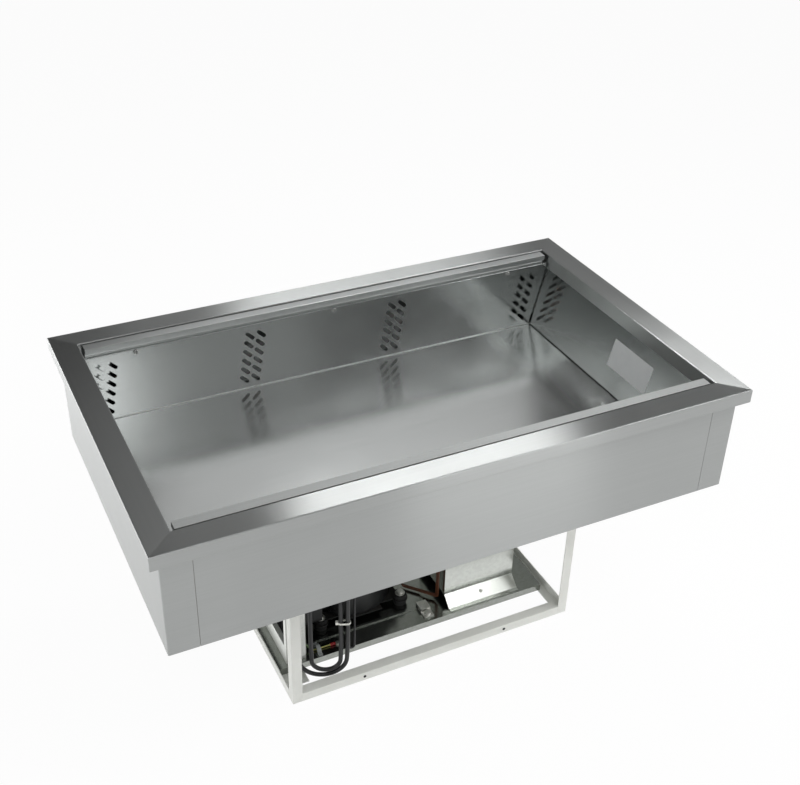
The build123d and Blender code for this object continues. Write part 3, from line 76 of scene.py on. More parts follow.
# Mesh work: doubles closer than this merge, flats within this angle join, and edges past it count as sharp
MERGE_MM = 0.002
FLAT_DEG = 0.4
SHARP_DEG = 35.0
SMOOTH_DEG = 40.0
# Picking edges: how near is at a face, and how long an edge has to be to count
TOUCH_MM = 0.1
SHORT_EDGE_MM = 1.6
BEND_RUN_MM = 100.0
LONG_RUN_MM = 300.0
# Picking faces: the upright share of a normal past which a face looks straight up or down
FACING = 0.9


class Grain(Enum):
    """Direction in which a sheet was brushed; a sheet bent round an upright corner is brushed around it."""

    ALONG_X = (1.0, 0.0, 0.0)
    ALONG_Y = (0.0, 1.0, 0.0)
    AROUND = (1.0, 1.0, 0.0)

    def scale(self, line_mm: float, run_mm: float) -> list[float]:
        """Give a pattern's scale on each axis, from a line's width and how far it runs."""
        return [1 / (run_mm * MM) if axis else 1 / (line_mm * MM) for axis in self.value]


def linear(hex_colour: str) -> tuple[float, float, float, float]:
    """Turn an sRGB hex colour into linear light.

    Args:
        hex_colour: Colour such as "#C0C2C0".

    Returns:
        Red, green, blue and alpha in linear light.
    """
    parts = [int(hex_colour[i : i + 2], 16) / 255 for i in (1, 3, 5)]
    light = [p / 12.92 if p <= 0.04045 else ((p + 0.055) / 1.055) ** 2.4 for p in parts]
    return (light[0], light[1], light[2], 1.0)


def metres(points: Iterable[Point]) -> list[Vector]:
    """Turn points in millimetres into vectors in metres."""
    return [Vector(p) * MM for p in points]


def add_node(
    tree: bpy.types.NodeTree, kind: str, sockets: dict | None = None, **settings: object
) -> bpy.types.Node:
    """Add one shader node with its settings, values and links.

    Args:
        tree: Node tree that takes the node.
        kind: Blender's name of the node type.
        sockets: Input values by name or number; a socket given as a value is linked.
        settings: Properties set on the node itself.

    Returns:
        The new node.
    """
    node = tree.nodes.new(kind)
    for key, value in settings.items():
        setattr(node, key, value)
    for key, value in (sockets or {}).items():
        if isinstance(value, bpy.types.NodeSocket):
            tree.links.new(value, node.inputs[key])
        else:
            node.inputs[key].default_value = value
    return node


@dataclass(frozen=True)
class Finish:
    """A surface finish that makes one procedural material."""

    name: str

    def start(self, sockets: dict) -> tuple[bpy.types.Material, bpy.types.NodeTree]:
        """Open a material and set the constant values of its shader.

        Args:
            sockets: Values for the shader's own sockets, by name.

        Returns:
            The material and its node tree.
        """
        material = bpy.data.materials.new(self.name)
        material.use_nodes = True
        tree = material.node_tree
        for key, value in sockets.items():
            tree.nodes[SHADER].inputs[key].default_value = value
        return material, tree

    def wire(self, tree: bpy.types.NodeTree, links: dict[str, bpy.types.NodeSocket]) -> None:
        """Link sockets to the shader's inputs by name."""
        for key, socket in links.items():
            tree.links.new(socket, tree.nodes[SHADER].inputs[key])

    def make(self) -> bpy.types.Material:
        """Make the material."""
        raise NotImplementedError


@dataclass(frozen=True)
class BrushedStainless(Finish):
    """Stainless sheet brushed along one direction: reflections smear across the grain.

    The grit's lines are about a tenth of a millimetre wide. They are drawn wider, so that they show.
    """

    grain: Grain = Grain.ALONG_X
    # The grey is set darker than the rolled sheet's, as painted shade
    light: str = "#ABADAC"
    dark: str = "#A4A6A5"
    roughness: float = 0.29
    spread: float = 0.015
    smear: float = 1.0
    line_mm: float = 2.6
    line_run_mm: float = 220.0
    cloud_mm: float = 85.0
    relief: float = 0.006
    relief_mm: float = 0.04

    def make(self) -> bpy.types.Material:
        """Make the brushed sheet; on a bent one the smear is turned to stand upright all the way round.

        Returns:
            The material.
        """
        bent = self.grain is Grain.AROUND
        turn = QUARTER_TURN if bent else 0.0
        material, tree = self.start(
            {"Metallic": 1.0, "Anisotropic": self.smear, "Anisotropic Rotation": turn}
        )
        place = add_node(tree, "ShaderNodeTexCoord").outputs["Object"]
        scale = self.grain.scale(self.line_mm, self.line_run_mm)
        run = add_node(tree, "ShaderNodeMapping", {"Vector": place, "Scale": scale})
        lines = add_node(
            tree, "ShaderNodeTexNoise",
            {"Vector": run.outputs[0], "Scale": 1.0, "Detail": 2.0, "Roughness": 0.5},
        )
        cloud = add_node(
            tree, "ShaderNodeTexNoise", {"Vector": place, "Scale": 1 / (self.cloud_mm * MM), "Detail": 2.0}
        )
        tone = add_node(
            tree, "ShaderNodeMix",
            {0: lines.outputs["Fac"], 6: linear(self.dark), 7: linear(self.light)}, data_type="RGBA",
        )
        low, high = self.roughness - self.spread, self.roughness + self.spread
        rough = add_node(
            tree, "ShaderNodeMapRange", {0: cloud.outputs["Fac"], 1: 0.25, 2: 0.75, 3: low, 4: high}
        )
        bumps = add_node(
            tree, "ShaderNodeBump",
            {"Strength": self.relief, "Distance": self.relief_mm * MM, "Height": lines.outputs["Fac"]},
        )
        normal = add_node(tree, "ShaderNodeNewGeometry").outputs["Normal"]
        axis = UPRIGHT if bent else self.grain.value
        sweep = add_node(tree, "ShaderNodeVectorMath", {0: normal, 1: axis}, operation="CROSS_PRODUCT")
        self.wire(tree, {
            "Base Color": tone.outputs[2], "Roughness": rough.outputs[0],
            "Normal": bumps.outputs[0], "Tangent": sweep.outputs[0],
        })
        return material


@dataclass(frozen=True)
class MillStainless(Finish):
    """Stainless sheet as it left the rolls: a soft, even sheen with faint rolling marks and wiping haze.

    The rolling marks are finer than half a millimetre. They are drawn wider, so that they show.
    """

    grain: Grain = Grain.ALONG_X
    # The grey is set paler than the brushed sheet's, as painted light
    light: str = "#D6D8D7"
    dark: str = "#CBCECD"
    roughness: float = 0.36
    spread: float = 0.02
    roll_mm: float = 2.4
    roll_run_mm: float = 160.0
    haze_mm: float = 120.0
    relief: float = 0.012
    relief_mm: float = 0.05

    def make(self) -> bpy.types.Material:
        """Make the rolled sheet.

        Returns:
            The material.
        """
        material, tree = self.start({"Metallic": 1.0})
        place = add_node(tree, "ShaderNodeTexCoord").outputs["Object"]
        scale = self.grain.scale(self.roll_mm, self.roll_run_mm)
        run = add_node(tree, "ShaderNodeMapping", {"Vector": place, "Scale": scale})
        rolls = add_node(tree, "ShaderNodeTexNoise", {"Vector": run.outputs[0], "Scale": 1.0, "Detail": 4.0})
        haze = add_node(
            tree, "ShaderNodeTexNoise", {"Vector": place, "Scale": 1 / (self.haze_mm * MM), "Detail": 4.0}
        )
        tone = add_node(
            tree, "ShaderNodeMix",
            {0: rolls.outputs["Fac"], 6: linear(self.dark), 7: linear(self.light)}, data_type="RGBA",
        )
        low, high = self.roughness - self.spread, self.roughness + self.spread
        rough = add_node(
            tree, "ShaderNodeMapRange", {0: haze.outputs["Fac"], 1: 0.3, 2: 0.7, 3: low, 4: high}
        )
        bumps = add_node(
            tree, "ShaderNodeBump",
            {"Strength": self.relief, "Distance": self.relief_mm * MM, "Height": rolls.outputs["Fac"]},
        )
        self.wire(tree, {
            "Base Color": tone.outputs[2], "Roughness": rough.outputs[0], "Normal": bumps.outputs[0],
        })
        return material


@dataclass(frozen=True)
class GalvanisedSheet(Finish):
    """Hot-dip galvanised steel: a mosaic of zinc crystals that each turn the light another way.

    The frost on the crystals is drawn coarser than it is, so that it shows.
    """

    # The default grey is darker than zinc, as painted shade
    light: str = "#9C9F9B"
    dark: str = "#92958F"
    crystal_mm: float = 5.0
    frost_mm: float = 2.0
    roughness: float = 0.21
    spread: float = 0.012
    relief: float = 0.006
    relief_mm: float = 0.05

    def make(self) -> bpy.types.Material:
        """Make the zinc-coated sheet.

        Returns:
            The material.
        """
        material, tree = self.start({"Metallic": 1.0})
        place = add_node(tree, "ShaderNodeTexCoord").outputs["Object"]
        crystals = add_node(
            tree, "ShaderNodeTexVoronoi", {"Vector": place, "Scale": 1 / (self.crystal_mm * MM)}
        )
        facet = add_node(tree, "ShaderNodeSeparateColor", {0: crystals.outputs["Color"]})
        frost = add_node(
            tree, "ShaderNodeTexNoise", {"Vector": place, "Scale": 1 / (self.frost_mm * MM), "Detail": 4.0}
        )
        tone = add_node(
            tree, "ShaderNodeMix",
            {0: facet.outputs[0], 6: linear(self.dark), 7: linear(self.light)}, data_type="RGBA",
        )
        low, high = self.roughness - self.spread, self.roughness + self.spread
        rough = add_node(
            tree, "ShaderNodeMapRange", {0: facet.outputs[1], 1: 0.0, 2: 1.0, 3: low, 4: high}
        )
        bumps = add_node(
            tree, "ShaderNodeBump",
            {"Strength": self.relief, "Distance": self.relief_mm * MM, "Height": frost.outputs["Fac"]},
        )
        self.wire(tree, {
            "Base Color": tone.outputs[2], "Roughness": rough.outputs[0], "Normal": bumps.outputs[0],
        })
        return material


@dataclass(frozen=True)
class BarePlated(Finish):
    """Plated or drawn metal, such as zinc-plated bolts or copper tube, dulled by stains in patches."""

    light: str = "#E6E6E2"
    dark: str = "#D4D4CE"
    roughness: float = 0.40
    polish: float = 0.04
    tarnish: float = 0.10
    stain_mm: float = 9.0

    def make(self) -> bpy.types.Material:
        """Make the plated metal.

        Returns:
            The material.
        """
        material, tree = self.start({"Metallic": 1.0})
        place = add_node(tree, "ShaderNodeTexCoord").outputs["Object"]
        stain = add_node(
            tree, "ShaderNodeTexNoise", {"Vector": place, "Scale": 1 / (self.stain_mm * MM), "Detail": 5.0}
        )
        edge = add_node(tree, "ShaderNodeMapRange", {0: stain.outputs["Fac"], 1: 0.35, 2: 0.62})
        tone = add_node(
            tree, "ShaderNodeMix",
            {0: edge.outputs[0], 6: linear(self.light), 7: linear(self.dark)}, data_type="RGBA",
        )
        low, high = self.roughness - self.polish, self.roughness + self.tarnish
        rough = add_node(tree, "ShaderNodeMapRange", {0: edge.outputs[0], 1: 0.0, 2: 1.0, 3: low, 4: high})
        self.wire(tree, {"Base Color": tone.outputs[2], "Roughness": rough.outputs[0]})
        return material


@dataclass(frozen=True)
class SprayedCoat(Finish):
    """Sprayed paint or powder coat on steel: orange-peel relief, with dust where a face looks up."""

    tint: str = "#EAEBE7"
    worn: str = "#D9DAD4"
    dust: str = "#B9B6AC"
    roughness: float = 0.42
    gloss: float = 0.05
    chalk: float = 0.08
    peel_mm: float = 2.6
    patch_mm: float = 45.0
    dust_share: float = 0.10
    relief: float = 0.16
    relief_mm: float = 0.06

    def make(self) -> bpy.types.Material:
        """Make the coat.

        Returns:
            The material.
        """
        material, tree = self.start({"IOR": 1.5})
        place = add_node(tree, "ShaderNodeTexCoord").outputs["Object"]
        peel = add_node(
            tree, "ShaderNodeTexNoise", {"Vector": place, "Scale": 1 / (self.peel_mm * MM), "Detail": 2.0}
        )
        patch = add_node(
            tree, "ShaderNodeTexNoise", {"Vector": place, "Scale": 1 / (self.patch_mm * MM), "Detail": 5.0}
        )
        coat = add_node(
            tree, "ShaderNodeMix",
            {0: patch.outputs["Fac"], 6: linear(self.tint), 7: linear(self.worn)}, data_type="RGBA",
        )
        normal = add_node(tree, "ShaderNodeNewGeometry").outputs["Normal"]
        facing = add_node(tree, "ShaderNodeSeparateXYZ", {0: normal})
        up = add_node(
            tree, "ShaderNodeMapRange", {0: facing.outputs[2], 1: 0.3, 2: 1.0, 3: 0.0, 4: self.dust_share}
        )
        settled = add_node(
            tree, "ShaderNodeMath", {0: up.outputs[0], 1: patch.outputs["Fac"]}, operation="MULTIPLY"
        )
        tone = add_node(
            tree, "ShaderNodeMix", {0: settled.outputs[0], 6: coat.outputs[2], 7: linear(self.dust)},
            data_type="RGBA",
        )
        low, high = self.roughness - self.gloss, self.roughness + self.chalk
        rough = add_node(
            tree, "ShaderNodeMapRange", {0: patch.outputs["Fac"], 1: 0.3, 2: 0.7, 3: low, 4: high}
        )
        bumps = add_node(
            tree, "ShaderNodeBump",
            {"Strength": self.relief, "Distance": self.relief_mm * MM, "Height": peel.outputs["Fac"]},
        )
        self.wire(tree, {
            "Base Color": tone.outputs[2], "Roughness": rough.outputs[0], "Normal": bumps.outputs[0],
        })
        return material


@dataclass(frozen=True)
class Moulded(Finish):
    """Moulded plastic, rubber or cable sheath: fine mould grain and a little tone change.

    Mould grain is about a tenth of a millimetre wide. It is drawn coarser, so that it shows.
    """

    tint: str = "#1C1D1E"
    shade: str = "#121314"
    roughness: float = 0.48
    spread: float = 0.06
    grain_mm: float = 0.9
    flow_mm: float = 22.0
    relief: float = 0.15
    relief_mm: float = 0.05

    def make(self) -> bpy.types.Material:
        """Make the moulded surface.

        Returns:
            The material.
        """
        material, tree = self.start({"IOR": 1.49})
        place = add_node(tree, "ShaderNodeTexCoord").outputs["Object"]
        grain = add_node(
            tree, "ShaderNodeTexNoise", {"Vector": place, "Scale": 1 / (self.grain_mm * MM), "Detail": 3.0}
        )
        flow = add_node(
            tree, "ShaderNodeTexNoise", {"Vector": place, "Scale": 1 / (self.flow_mm * MM), "Detail": 3.0}
        )
        tone = add_node(
            tree, "ShaderNodeMix",
            {0: flow.outputs["Fac"], 6: linear(self.shade), 7: linear(self.tint)}, data_type="RGBA",
        )
        low, high = self.roughness - self.spread, self.roughness + self.spread
        rough = add_node(
            tree, "ShaderNodeMapRange", {0: grain.outputs["Fac"], 1: 0.3, 2: 0.7, 3: low, 4: high}
        )
        bumps = add_node(
            tree, "ShaderNodeBump",
            {"Strength": self.relief, "Distance": self.relief_mm * MM, "Height": grain.outputs["Fac"]},
        )
        self.wire(tree, {
            "Base Color": tone.outputs[2], "Roughness": rough.outputs[0], "Normal": bumps.outputs[0],
        })
        return material


@dataclass(frozen=True)
class EarthLead(Finish):
    """Earth lead along X: zinc lug, red crimp sleeve, then a yellow sheath with a green stripe along it."""

    yellow: str = "#BDB86C"
    green: str = "#7D9A68"
    red: str = "#961F22"
    zinc: str = "#CBCBC4"
    lug_mm: float = -175.0
    sleeve_mm: float = -186.0
    stripe_mm: float = -130.3

    def make(self) -> bpy.types.Material:
        """Make the lead's coloured lengths from where they lie along X.

        Returns:
            The material.
        """
        material, tree = self.start({"Roughness": 0.4, "IOR": 1.5})
        place = add_node(tree, "ShaderNodeTexCoord").outputs["Object"]
        spot = add_node(tree, "ShaderNodeSeparateXYZ", {0: place})
        tone, past = linear(self.yellow), None
        for axis, start_mm, colour in (
            (1, self.stripe_mm, self.green), (0, self.sleeve_mm, self.red), (0, self.lug_mm, self.zinc),
        ):
            past = add_node(
                tree, "ShaderNodeMath", {0: spot.outputs[axis], 1: start_mm * MM}, operation="GREATER_THAN"
            )
            blend = add_node(
                tree, "ShaderNodeMix", {0: past.outputs[0], 6: tone, 7: linear(colour)}, data_type="RGBA"
            )
            tone = blend.outputs[2]
        self.wire(tree, {"Base Color": tone, "Metallic": past.outputs[0]})
        return material


# Rim and casing, brushed sheet: satin grey, with highlights that draw out across the grain; the grey is
# darker than the rolled sheet's, as painted shade
STAINLESS_X = BrushedStainless("brushed_stainless_lengthwise", Grain.ALONG_X)
STAINLESS_Y = BrushedStainless("brushed_stainless_crosswise", Grain.ALONG_Y)
# End panels, brushed flat and then bent: the grain runs on round the corner
STAINLESS_ROUND = BrushedStainless("brushed_stainless_around", Grain.AROUND)
# Inside of the well, cold-rolled sheet: smooth enough to mirror slots and walls, a little blurred; its grey
# is paler than the brushed sheet's, as painted light
FLOOR_SHEET = MillStainless("rolled_stainless_floor", roughness=0.165)
LINER_SHEET = MillStainless("rolled_stainless_liner", roughness=0.15)
LINER_END_SHEET = MillStainless("rolled_stainless_ends", Grain.ALONG_Y, roughness=0.15)
PANEL_SHEET = MillStainless("rolled_stainless_panels", roughness=0.17)
# Folded strips of duller sheet: soft light and shade on each step, and no mirror image
RAIL_SHEET = MillStainless("rolled_stainless_rails", roughness=0.34)
# The rail at the front: rougher than the back rail, and darker grey as painted shade, so it reads an even
# pale grey without highlights
SHADED_RAIL = MillStainless("shaded_stainless_rail", light="#B9BBBA", dark="#AFB1B0", roughness=0.68)
# Tray and brackets, galvanised: half mirror, with faint crystals; the cool grey is darker than zinc as
# painted shade, so the front lip mirrors the floor dimmer
ZINC_SHEET = GalvanisedSheet("galvanised_sheet")
# Control box, galvanised sheet: smoother than the tray, and paler as painted light, so its sloping foot
# flares white
BOX_ZINC = GalvanisedSheet("galvanised_box_sheet", light="#CDD0CB", dark="#C6C9C4", roughness=0.17)
# Casing bottom, galvanised: matt, with no clear reflection; its grey is paler than the tray's, as painted
# light, so the tray mirrors it brighter
DULL_ZINC = GalvanisedSheet("painted_light_matt_galvanised_sheet", light="#B2B5B1", dark="#A6A9A5", roughness=0.50)
# Condenser frame, matt zinc painted almost white as painted light, so it reads lit where it faces the light
LIT_ZINC = GalvanisedSheet("painted_light_galvanised_sheet", light="#ECEEEA", dark="#E4E6E2", roughness=0.60)
# Bolts and clamp, zinc-plated: bright silver with duller patches
ZINC_PLATE = BarePlated("zinc_plated_fasteners")
# Panel screws, stainless, with a small sharp glint: their grey is darker than the sheet's, as painted shade,
# so the domes don't mirror the floor white
SCREW_STEEL = BarePlated("stainless_screws", light="#9C9D9B", dark="#858684", roughness=0.22, stain_mm=3.0)
# Threaded inserts: nearly black with a soft sheen, as painted shade inside the front rail's holes
SHADE_INSERT = BarePlated("painted_shade_inserts", light="#4A4C4D", dark="#3A3C3D", roughness=0.45, stain_mm=2.0)
# Pipes, drawn copper: warm, with brown tarnish in patches
DRAWN_COPPER = BarePlated("drawn_copper_tube", light="#C98A63", dark="#8A5238", roughness=0.30, stain_mm=16.0)
# Evaporator fins, aluminium foil: pale and soft
FIN_STOCK = BarePlated("aluminium_fin_stock", light="#E4E6E6", dark="#D6D9D9", roughness=0.50, stain_mm=30.0)
# Machine frame, powder coat: warm white, low gloss, slightly pebbled
WHITE_COAT = SprayedCoat("white_powder_coat")
# Compressor and condenser, stove enamel: black with a broad gloss, greyed by dust on top
BLACK_COAT = SprayedCoat(
    "black_stove_enamel", tint="#17181A", worn="#1E1F20", dust="#6B675F", roughness=0.30, dust_share=0.30
)
# Fan, covers and knob, moulded nylon or ABS: black, fine-grained, half matt
BLACK_PLASTIC = Moulded("black_moulded_plastic")
# Grommets and plug, rubber: dull charcoal
BLACK_RUBBER = Moulded("black_rubber", tint="#222222", shade="#171717", roughness=0.68, grain_mm=1.6)
# Cords, PVC sheath: black with a narrow glint along each strand
CORD_SHEATH = Moulded("black_cord_sheath", tint="#1D1E20", shade="#131415", roughness=0.36, relief=0.06)
# Rocker, polished ABS: clear red with a glossy face
ROCKER_RED = Moulded("red_rocker_plastic", tint="#B0241C", shade="#971C16", roughness=0.24, relief=0.03)
# Tie and wire arch, nylon: milky, with a waxy sheen
WHITE_NYLON = Moulded("white_nylon_tie", tint="#EDEDE8", shade="#DEDED6", roughness=0.40, relief=0.05)
GREY_NYLON = Moulded("grey_nylon_clip", tint="#A9ADAD", shade="#989C9C", roughness=0.45, relief=0.05)
# Control wires, PVC sheath: one plain colour each, half gloss
BROWN_SHEATH = Moulded("brown_wire_sheath", tint="#6A3A20", shade="#553018", roughness=0.40, relief=0.03)
YELLOW_SHEATH = Moulded("yellow_wire_sheath", tint="#CDBB2A", shade="#B4A31E", roughness=0.40, relief=0.03)
RED_SHEATH = Moulded("red_wire_sheath", tint="#8E2A20", shade="#742018", roughness=0.40, relief=0.03)
# Bare plate, film on foil: pale silver grey and satin
BARE_FILM = Moulded(
    "bare_plate_film", tint="#E2E4E4", shade="#D6D9D9", roughness=0.34, grain_mm=6.0, relief=0.03
)
# Insulation, rigid polyurethane: matt and full of pores; its yellow is darkened to a dull buff as painted
# shade in the casing's seams
RIGID_FOAM = Moulded(
    "rigid_insulation_foam", tint="#8C8468", shade="#6F684F", roughness=0.85, grain_mm=2.0, relief=0.5
)
# Earth lead: green and yellow sheath, red sleeve and bright lug
EARTH_LEAD = EarthLead("earth_lead")


def any_edge(a: Vector, b: Vector) -> bool:
    """Pick every edge that isn't too short to round."""
    return (a - b).length > SHORT_EDGE_MM * MM


def lengthwise(a: Vector, b: Vector) -> bool:
    """Pick the edges that run along a rail or hem."""
    return abs(a.x - b.x) > LONG_RUN_MM * MM


class Dresser:
    """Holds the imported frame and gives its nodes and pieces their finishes."""

    def __init__(self, frame: dict) -> None:
        """Keep the frame's nodes and start with no materials made."""
        self.nodes: dict[str, bpy.types.Object] = frame["nodes"]
        self.made: dict[str, bpy.types.Material] = {}

    def material(self, finish: Finish) -> bpy.types.Material:
        """Give a finish's material, made once.

        Args:
            finish: Finish that is asked for.

        Returns:
            Its material.
        """
        if finish.name not in self.made:
            self.made[finish.name] = finish.make()
        return self.made[finish.name]

    def paint(self, piece: bpy.types.Object, finish: Finish) -> None:
        """Give a piece or node one finish all over."""
        piece.data.materials.clear()
        piece.data.materials.append(self.material(finish))

    def coat(self, finish: Finish, *names: str) -> None:
        """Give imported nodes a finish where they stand."""
        for name in names:
            self.paint(self.nodes[name], finish)

    def ease(
        self, name: str, width_mm: float, finish: Finish, slot: str, body: str = ROOT_BODY, segments: int = 2,
        pick: EdgeTest = any_edge, made: str = "eased",
    ) -> bpy.types.Object:
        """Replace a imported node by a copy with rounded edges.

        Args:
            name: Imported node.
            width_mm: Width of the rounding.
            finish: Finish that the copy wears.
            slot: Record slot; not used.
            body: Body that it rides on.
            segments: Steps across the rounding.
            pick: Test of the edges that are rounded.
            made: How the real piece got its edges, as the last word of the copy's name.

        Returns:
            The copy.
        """
        piece = merged_copy(self.nodes[name], f"{name}_{made}")
        ease_edges(piece, width_mm, pick, segments)
        self.settle(piece, body, slot, finish, name)
        return piece

    def settle(self, piece: bpy.types.Object, body: str, slot: str, finish: Finish, *stands_for: str) -> None:
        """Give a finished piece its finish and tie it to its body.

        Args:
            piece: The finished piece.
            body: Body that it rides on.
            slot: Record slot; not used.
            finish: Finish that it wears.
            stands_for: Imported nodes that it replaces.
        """
        self.paint(piece, finish)
        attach(piece, body)
        if stands_for:
            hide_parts(*stands_for)
        log.info("%s rides on %s", piece.name, body)


def deselect() -> None:
    """Leave nothing selected, in object mode."""
    if bpy.context.mode != "OBJECT":
        bpy.ops.object.mode_set(mode="OBJECT")
    bpy.ops.object.select_all(action="DESELECT")


def activate(piece: bpy.types.Object) -> None:
    """Select one piece alone and make it active.

    Args:
        piece: Piece that the next operators act on.
    """
    deselect()
    piece.select_set(True)
    bpy.context.view_layer.objects.active = piece


def clear_selection(mesh: bpy.types.Mesh) -> None:
    """Leave no vertex, edge or face of a mesh selected."""
    for element in (*mesh.vertices, *mesh.edges, *mesh.polygons):
        element.select = False


def merged_copy(node: bpy.types.Object, name: str) -> bpy.types.Object:
    """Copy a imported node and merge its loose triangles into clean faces.

    Args:
        node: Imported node.
        name: Name of the copy.

    Returns:
        The copy, at the origin, with its own mesh.
    """
    piece = bpy.data.objects.new(name, node.data.copy())
    piece.data.name = name
    bpy.context.scene.collection.objects.link(piece)
    activate(piece)
    bpy.ops.object.mode_set(mode="EDIT")
    bpy.ops.mesh.customdata_custom_splitnormals_clear()
    bpy.ops.mesh.select_all(action="SELECT")
    bpy.ops.mesh.remove_doubles(threshold=MERGE_MM * MM)
    bpy.ops.mesh.dissolve_limited(angle_limit=math.radians(FLAT_DEG))
    bpy.ops.object.mode_set(mode="OBJECT")
    return piece


def ease_edges(piece: bpy.types.Object, width_mm: float, pick: EdgeTest, segments: int) -> None:
    """Round the sharp edges of a piece that a test picks.

    Args:
        piece: Piece whose edges are rounded.
        width_mm: Width of the rounding.
        pick: Test of an edge's two ends, in metres.
        segments: Steps across the rounding.
    """
    activate(piece)
    bpy.context.tool_settings.mesh_select_mode = (False, True, False)
    bpy.ops.object.mode_set(mode="EDIT")
    bpy.ops.mesh.select_all(action="DESELECT")
    bpy.ops.mesh.edges_select_sharp(sharpness=math.radians(SHARP_DEG))
    bpy.ops.object.mode_set(mode="OBJECT")
    mesh = piece.data
    picked = [
        edge.index for edge in mesh.edges
        if edge.select and pick(*(mesh.vertices[i].co for i in edge.vertices))
    ]
    clear_selection(mesh)
    for index in picked:
        mesh.edges[index].select = True
    bpy.ops.object.mode_set(mode="EDIT")
    bpy.ops.mesh.bevel(offset=width_mm * MM, segments=segments, affect="EDGES", clamp_overlap=True)
    bpy.ops.object.mode_set(mode="OBJECT")
    smooth(piece)


def applied(piece: bpy.types.Object, kind: str, **settings: object) -> None:
    """Give a piece one modifier, and apply it.

    Args:
        piece: Piece that takes the modifier.
        kind: Blender's name of the modifier type.
        settings: Properties set on the modifier.
    """
    activate(piece)
    bpy.ops.object.modifier_add(type=kind)
    modifier = piece.modifiers[-1]
    for key, value in settings.items():
        setattr(modifier, key, value)
    bpy.ops.object.modifier_apply(modifier=modifier.name)


def smooth(piece: bpy.types.Object) -> None:
    """Shade roundings smooth and keep the flats beside them flat.

    Args:
        piece: Piece that is shaded.
    """
    activate(piece)
    bpy.ops.object.shade_smooth_by_angle(angle=math.radians(SMOOTH_DEG))
    applied(piece, "WEIGHTED_NORMAL", keep_sharp=True)


def joined(pieces: Sequence[bpy.types.Object], name: str) -> bpy.types.Object:
    """Join pieces into one, at the origin, unturned and unscaled.

    Args:
        pieces: Pieces that are joined.
        name: Name of the result.

    Returns:
        The joined piece.
    """
    activate(pieces[0])
    for piece in pieces:
        piece.select_set(True)
    if len(pieces) > 1:
        bpy.ops.object.join()
    whole = bpy.context.view_layer.objects.active
    whole.name = whole.data.name = name
    bpy.ops.object.transform_apply(location=True, rotation=True, scale=True)
    return whole


def placed_copies(
    model: bpy.types.Object, name: str, spots: Sequence[tuple[Point, Point]]
) -> bpy.types.Object:
    """Set copies of a model that stands along +Z, and drop the model.

    Args:
        model: Model at the origin.
        name: Name of the result.
        spots: Place in millimetres and direction of each copy.

    Returns:
        All copies as one piece.
    """
    copies = []
    for spot, way in spots:
        copy = bpy.data.objects.new(name, model.data.copy())
        bpy.context.scene.collection.objects.link(copy)
        turn = Vector(way).to_track_quat("Z", "Y").to_matrix().to_4x4()
        copy.matrix_world = Matrix.Translation(Vector(spot) * MM) @ turn
        copies.append(copy)
    bpy.data.objects.remove(model)
    bpy.context.view_layer.update()
    return joined(copies, name)


def select_faces(piece: bpy.types.Object, pick: Callable[[Vector, Vector], bool]) -> None:
    """Enter edit mode with only the faces selected that a test picks.

    Args:
        piece: Piece whose faces are tested.
        pick: Test of a face's middle, in metres, and normal.
    """
    activate(piece)
    bpy.context.tool_settings.mesh_select_mode = (False, False, True)
    clear_selection(piece.data)
    for face in piece.data.polygons:
        face.select = pick(face.center, face.normal)
    bpy.ops.object.mode_set(mode="EDIT")


def new_cylinder(name: str, radius_mm: float, low_mm: float, high_mm: float, sides: int) -> bpy.types.Object:
    """Start a piece from a cylinder along Z.

    Args:
        name: Name of the piece.
        radius_mm: Radius.
        low_mm: Level of its foot.
        high_mm: Level of its top.
        sides: Number of sides.

    Returns:
        The cylinder, with its place in its mesh.
    """
    deselect()
    bpy.ops.mesh.primitive_cylinder_add(
        vertices=sides, radius=radius_mm * MM, depth=(high_mm - low_mm) * MM,
        location=(0, 0, (low_mm + high_mm) / 2 * MM),
    )
    piece = bpy.context.active_object
    piece.name = piece.data.name = name
    bpy.ops.object.transform_apply(location=True, rotation=True, scale=True)
    return piece


def new_bar(name: str, low: Point, high: Point) -> bpy.types.Object:
    """Start a piece from a box between two corners.

    Args:
        name: Name of the piece.
        low: Corner with the lowest values, in millimetres.
        high: Corner with the highest values, in millimetres.

    Returns:
        The box, with its place in its mesh.
    """
    deselect()
    middle = [(a + b) / 2 * MM for a, b in zip(low, high)]
    bpy.ops.mesh.primitive_cube_add(size=1, location=middle)
    piece = bpy.context.active_object
    piece.name = piece.data.name = name
    piece.scale = [(b - a) * MM for a, b in zip(low, high)]
    bpy.ops.object.transform_apply(location=True, rotation=True, scale=True)
    return piece


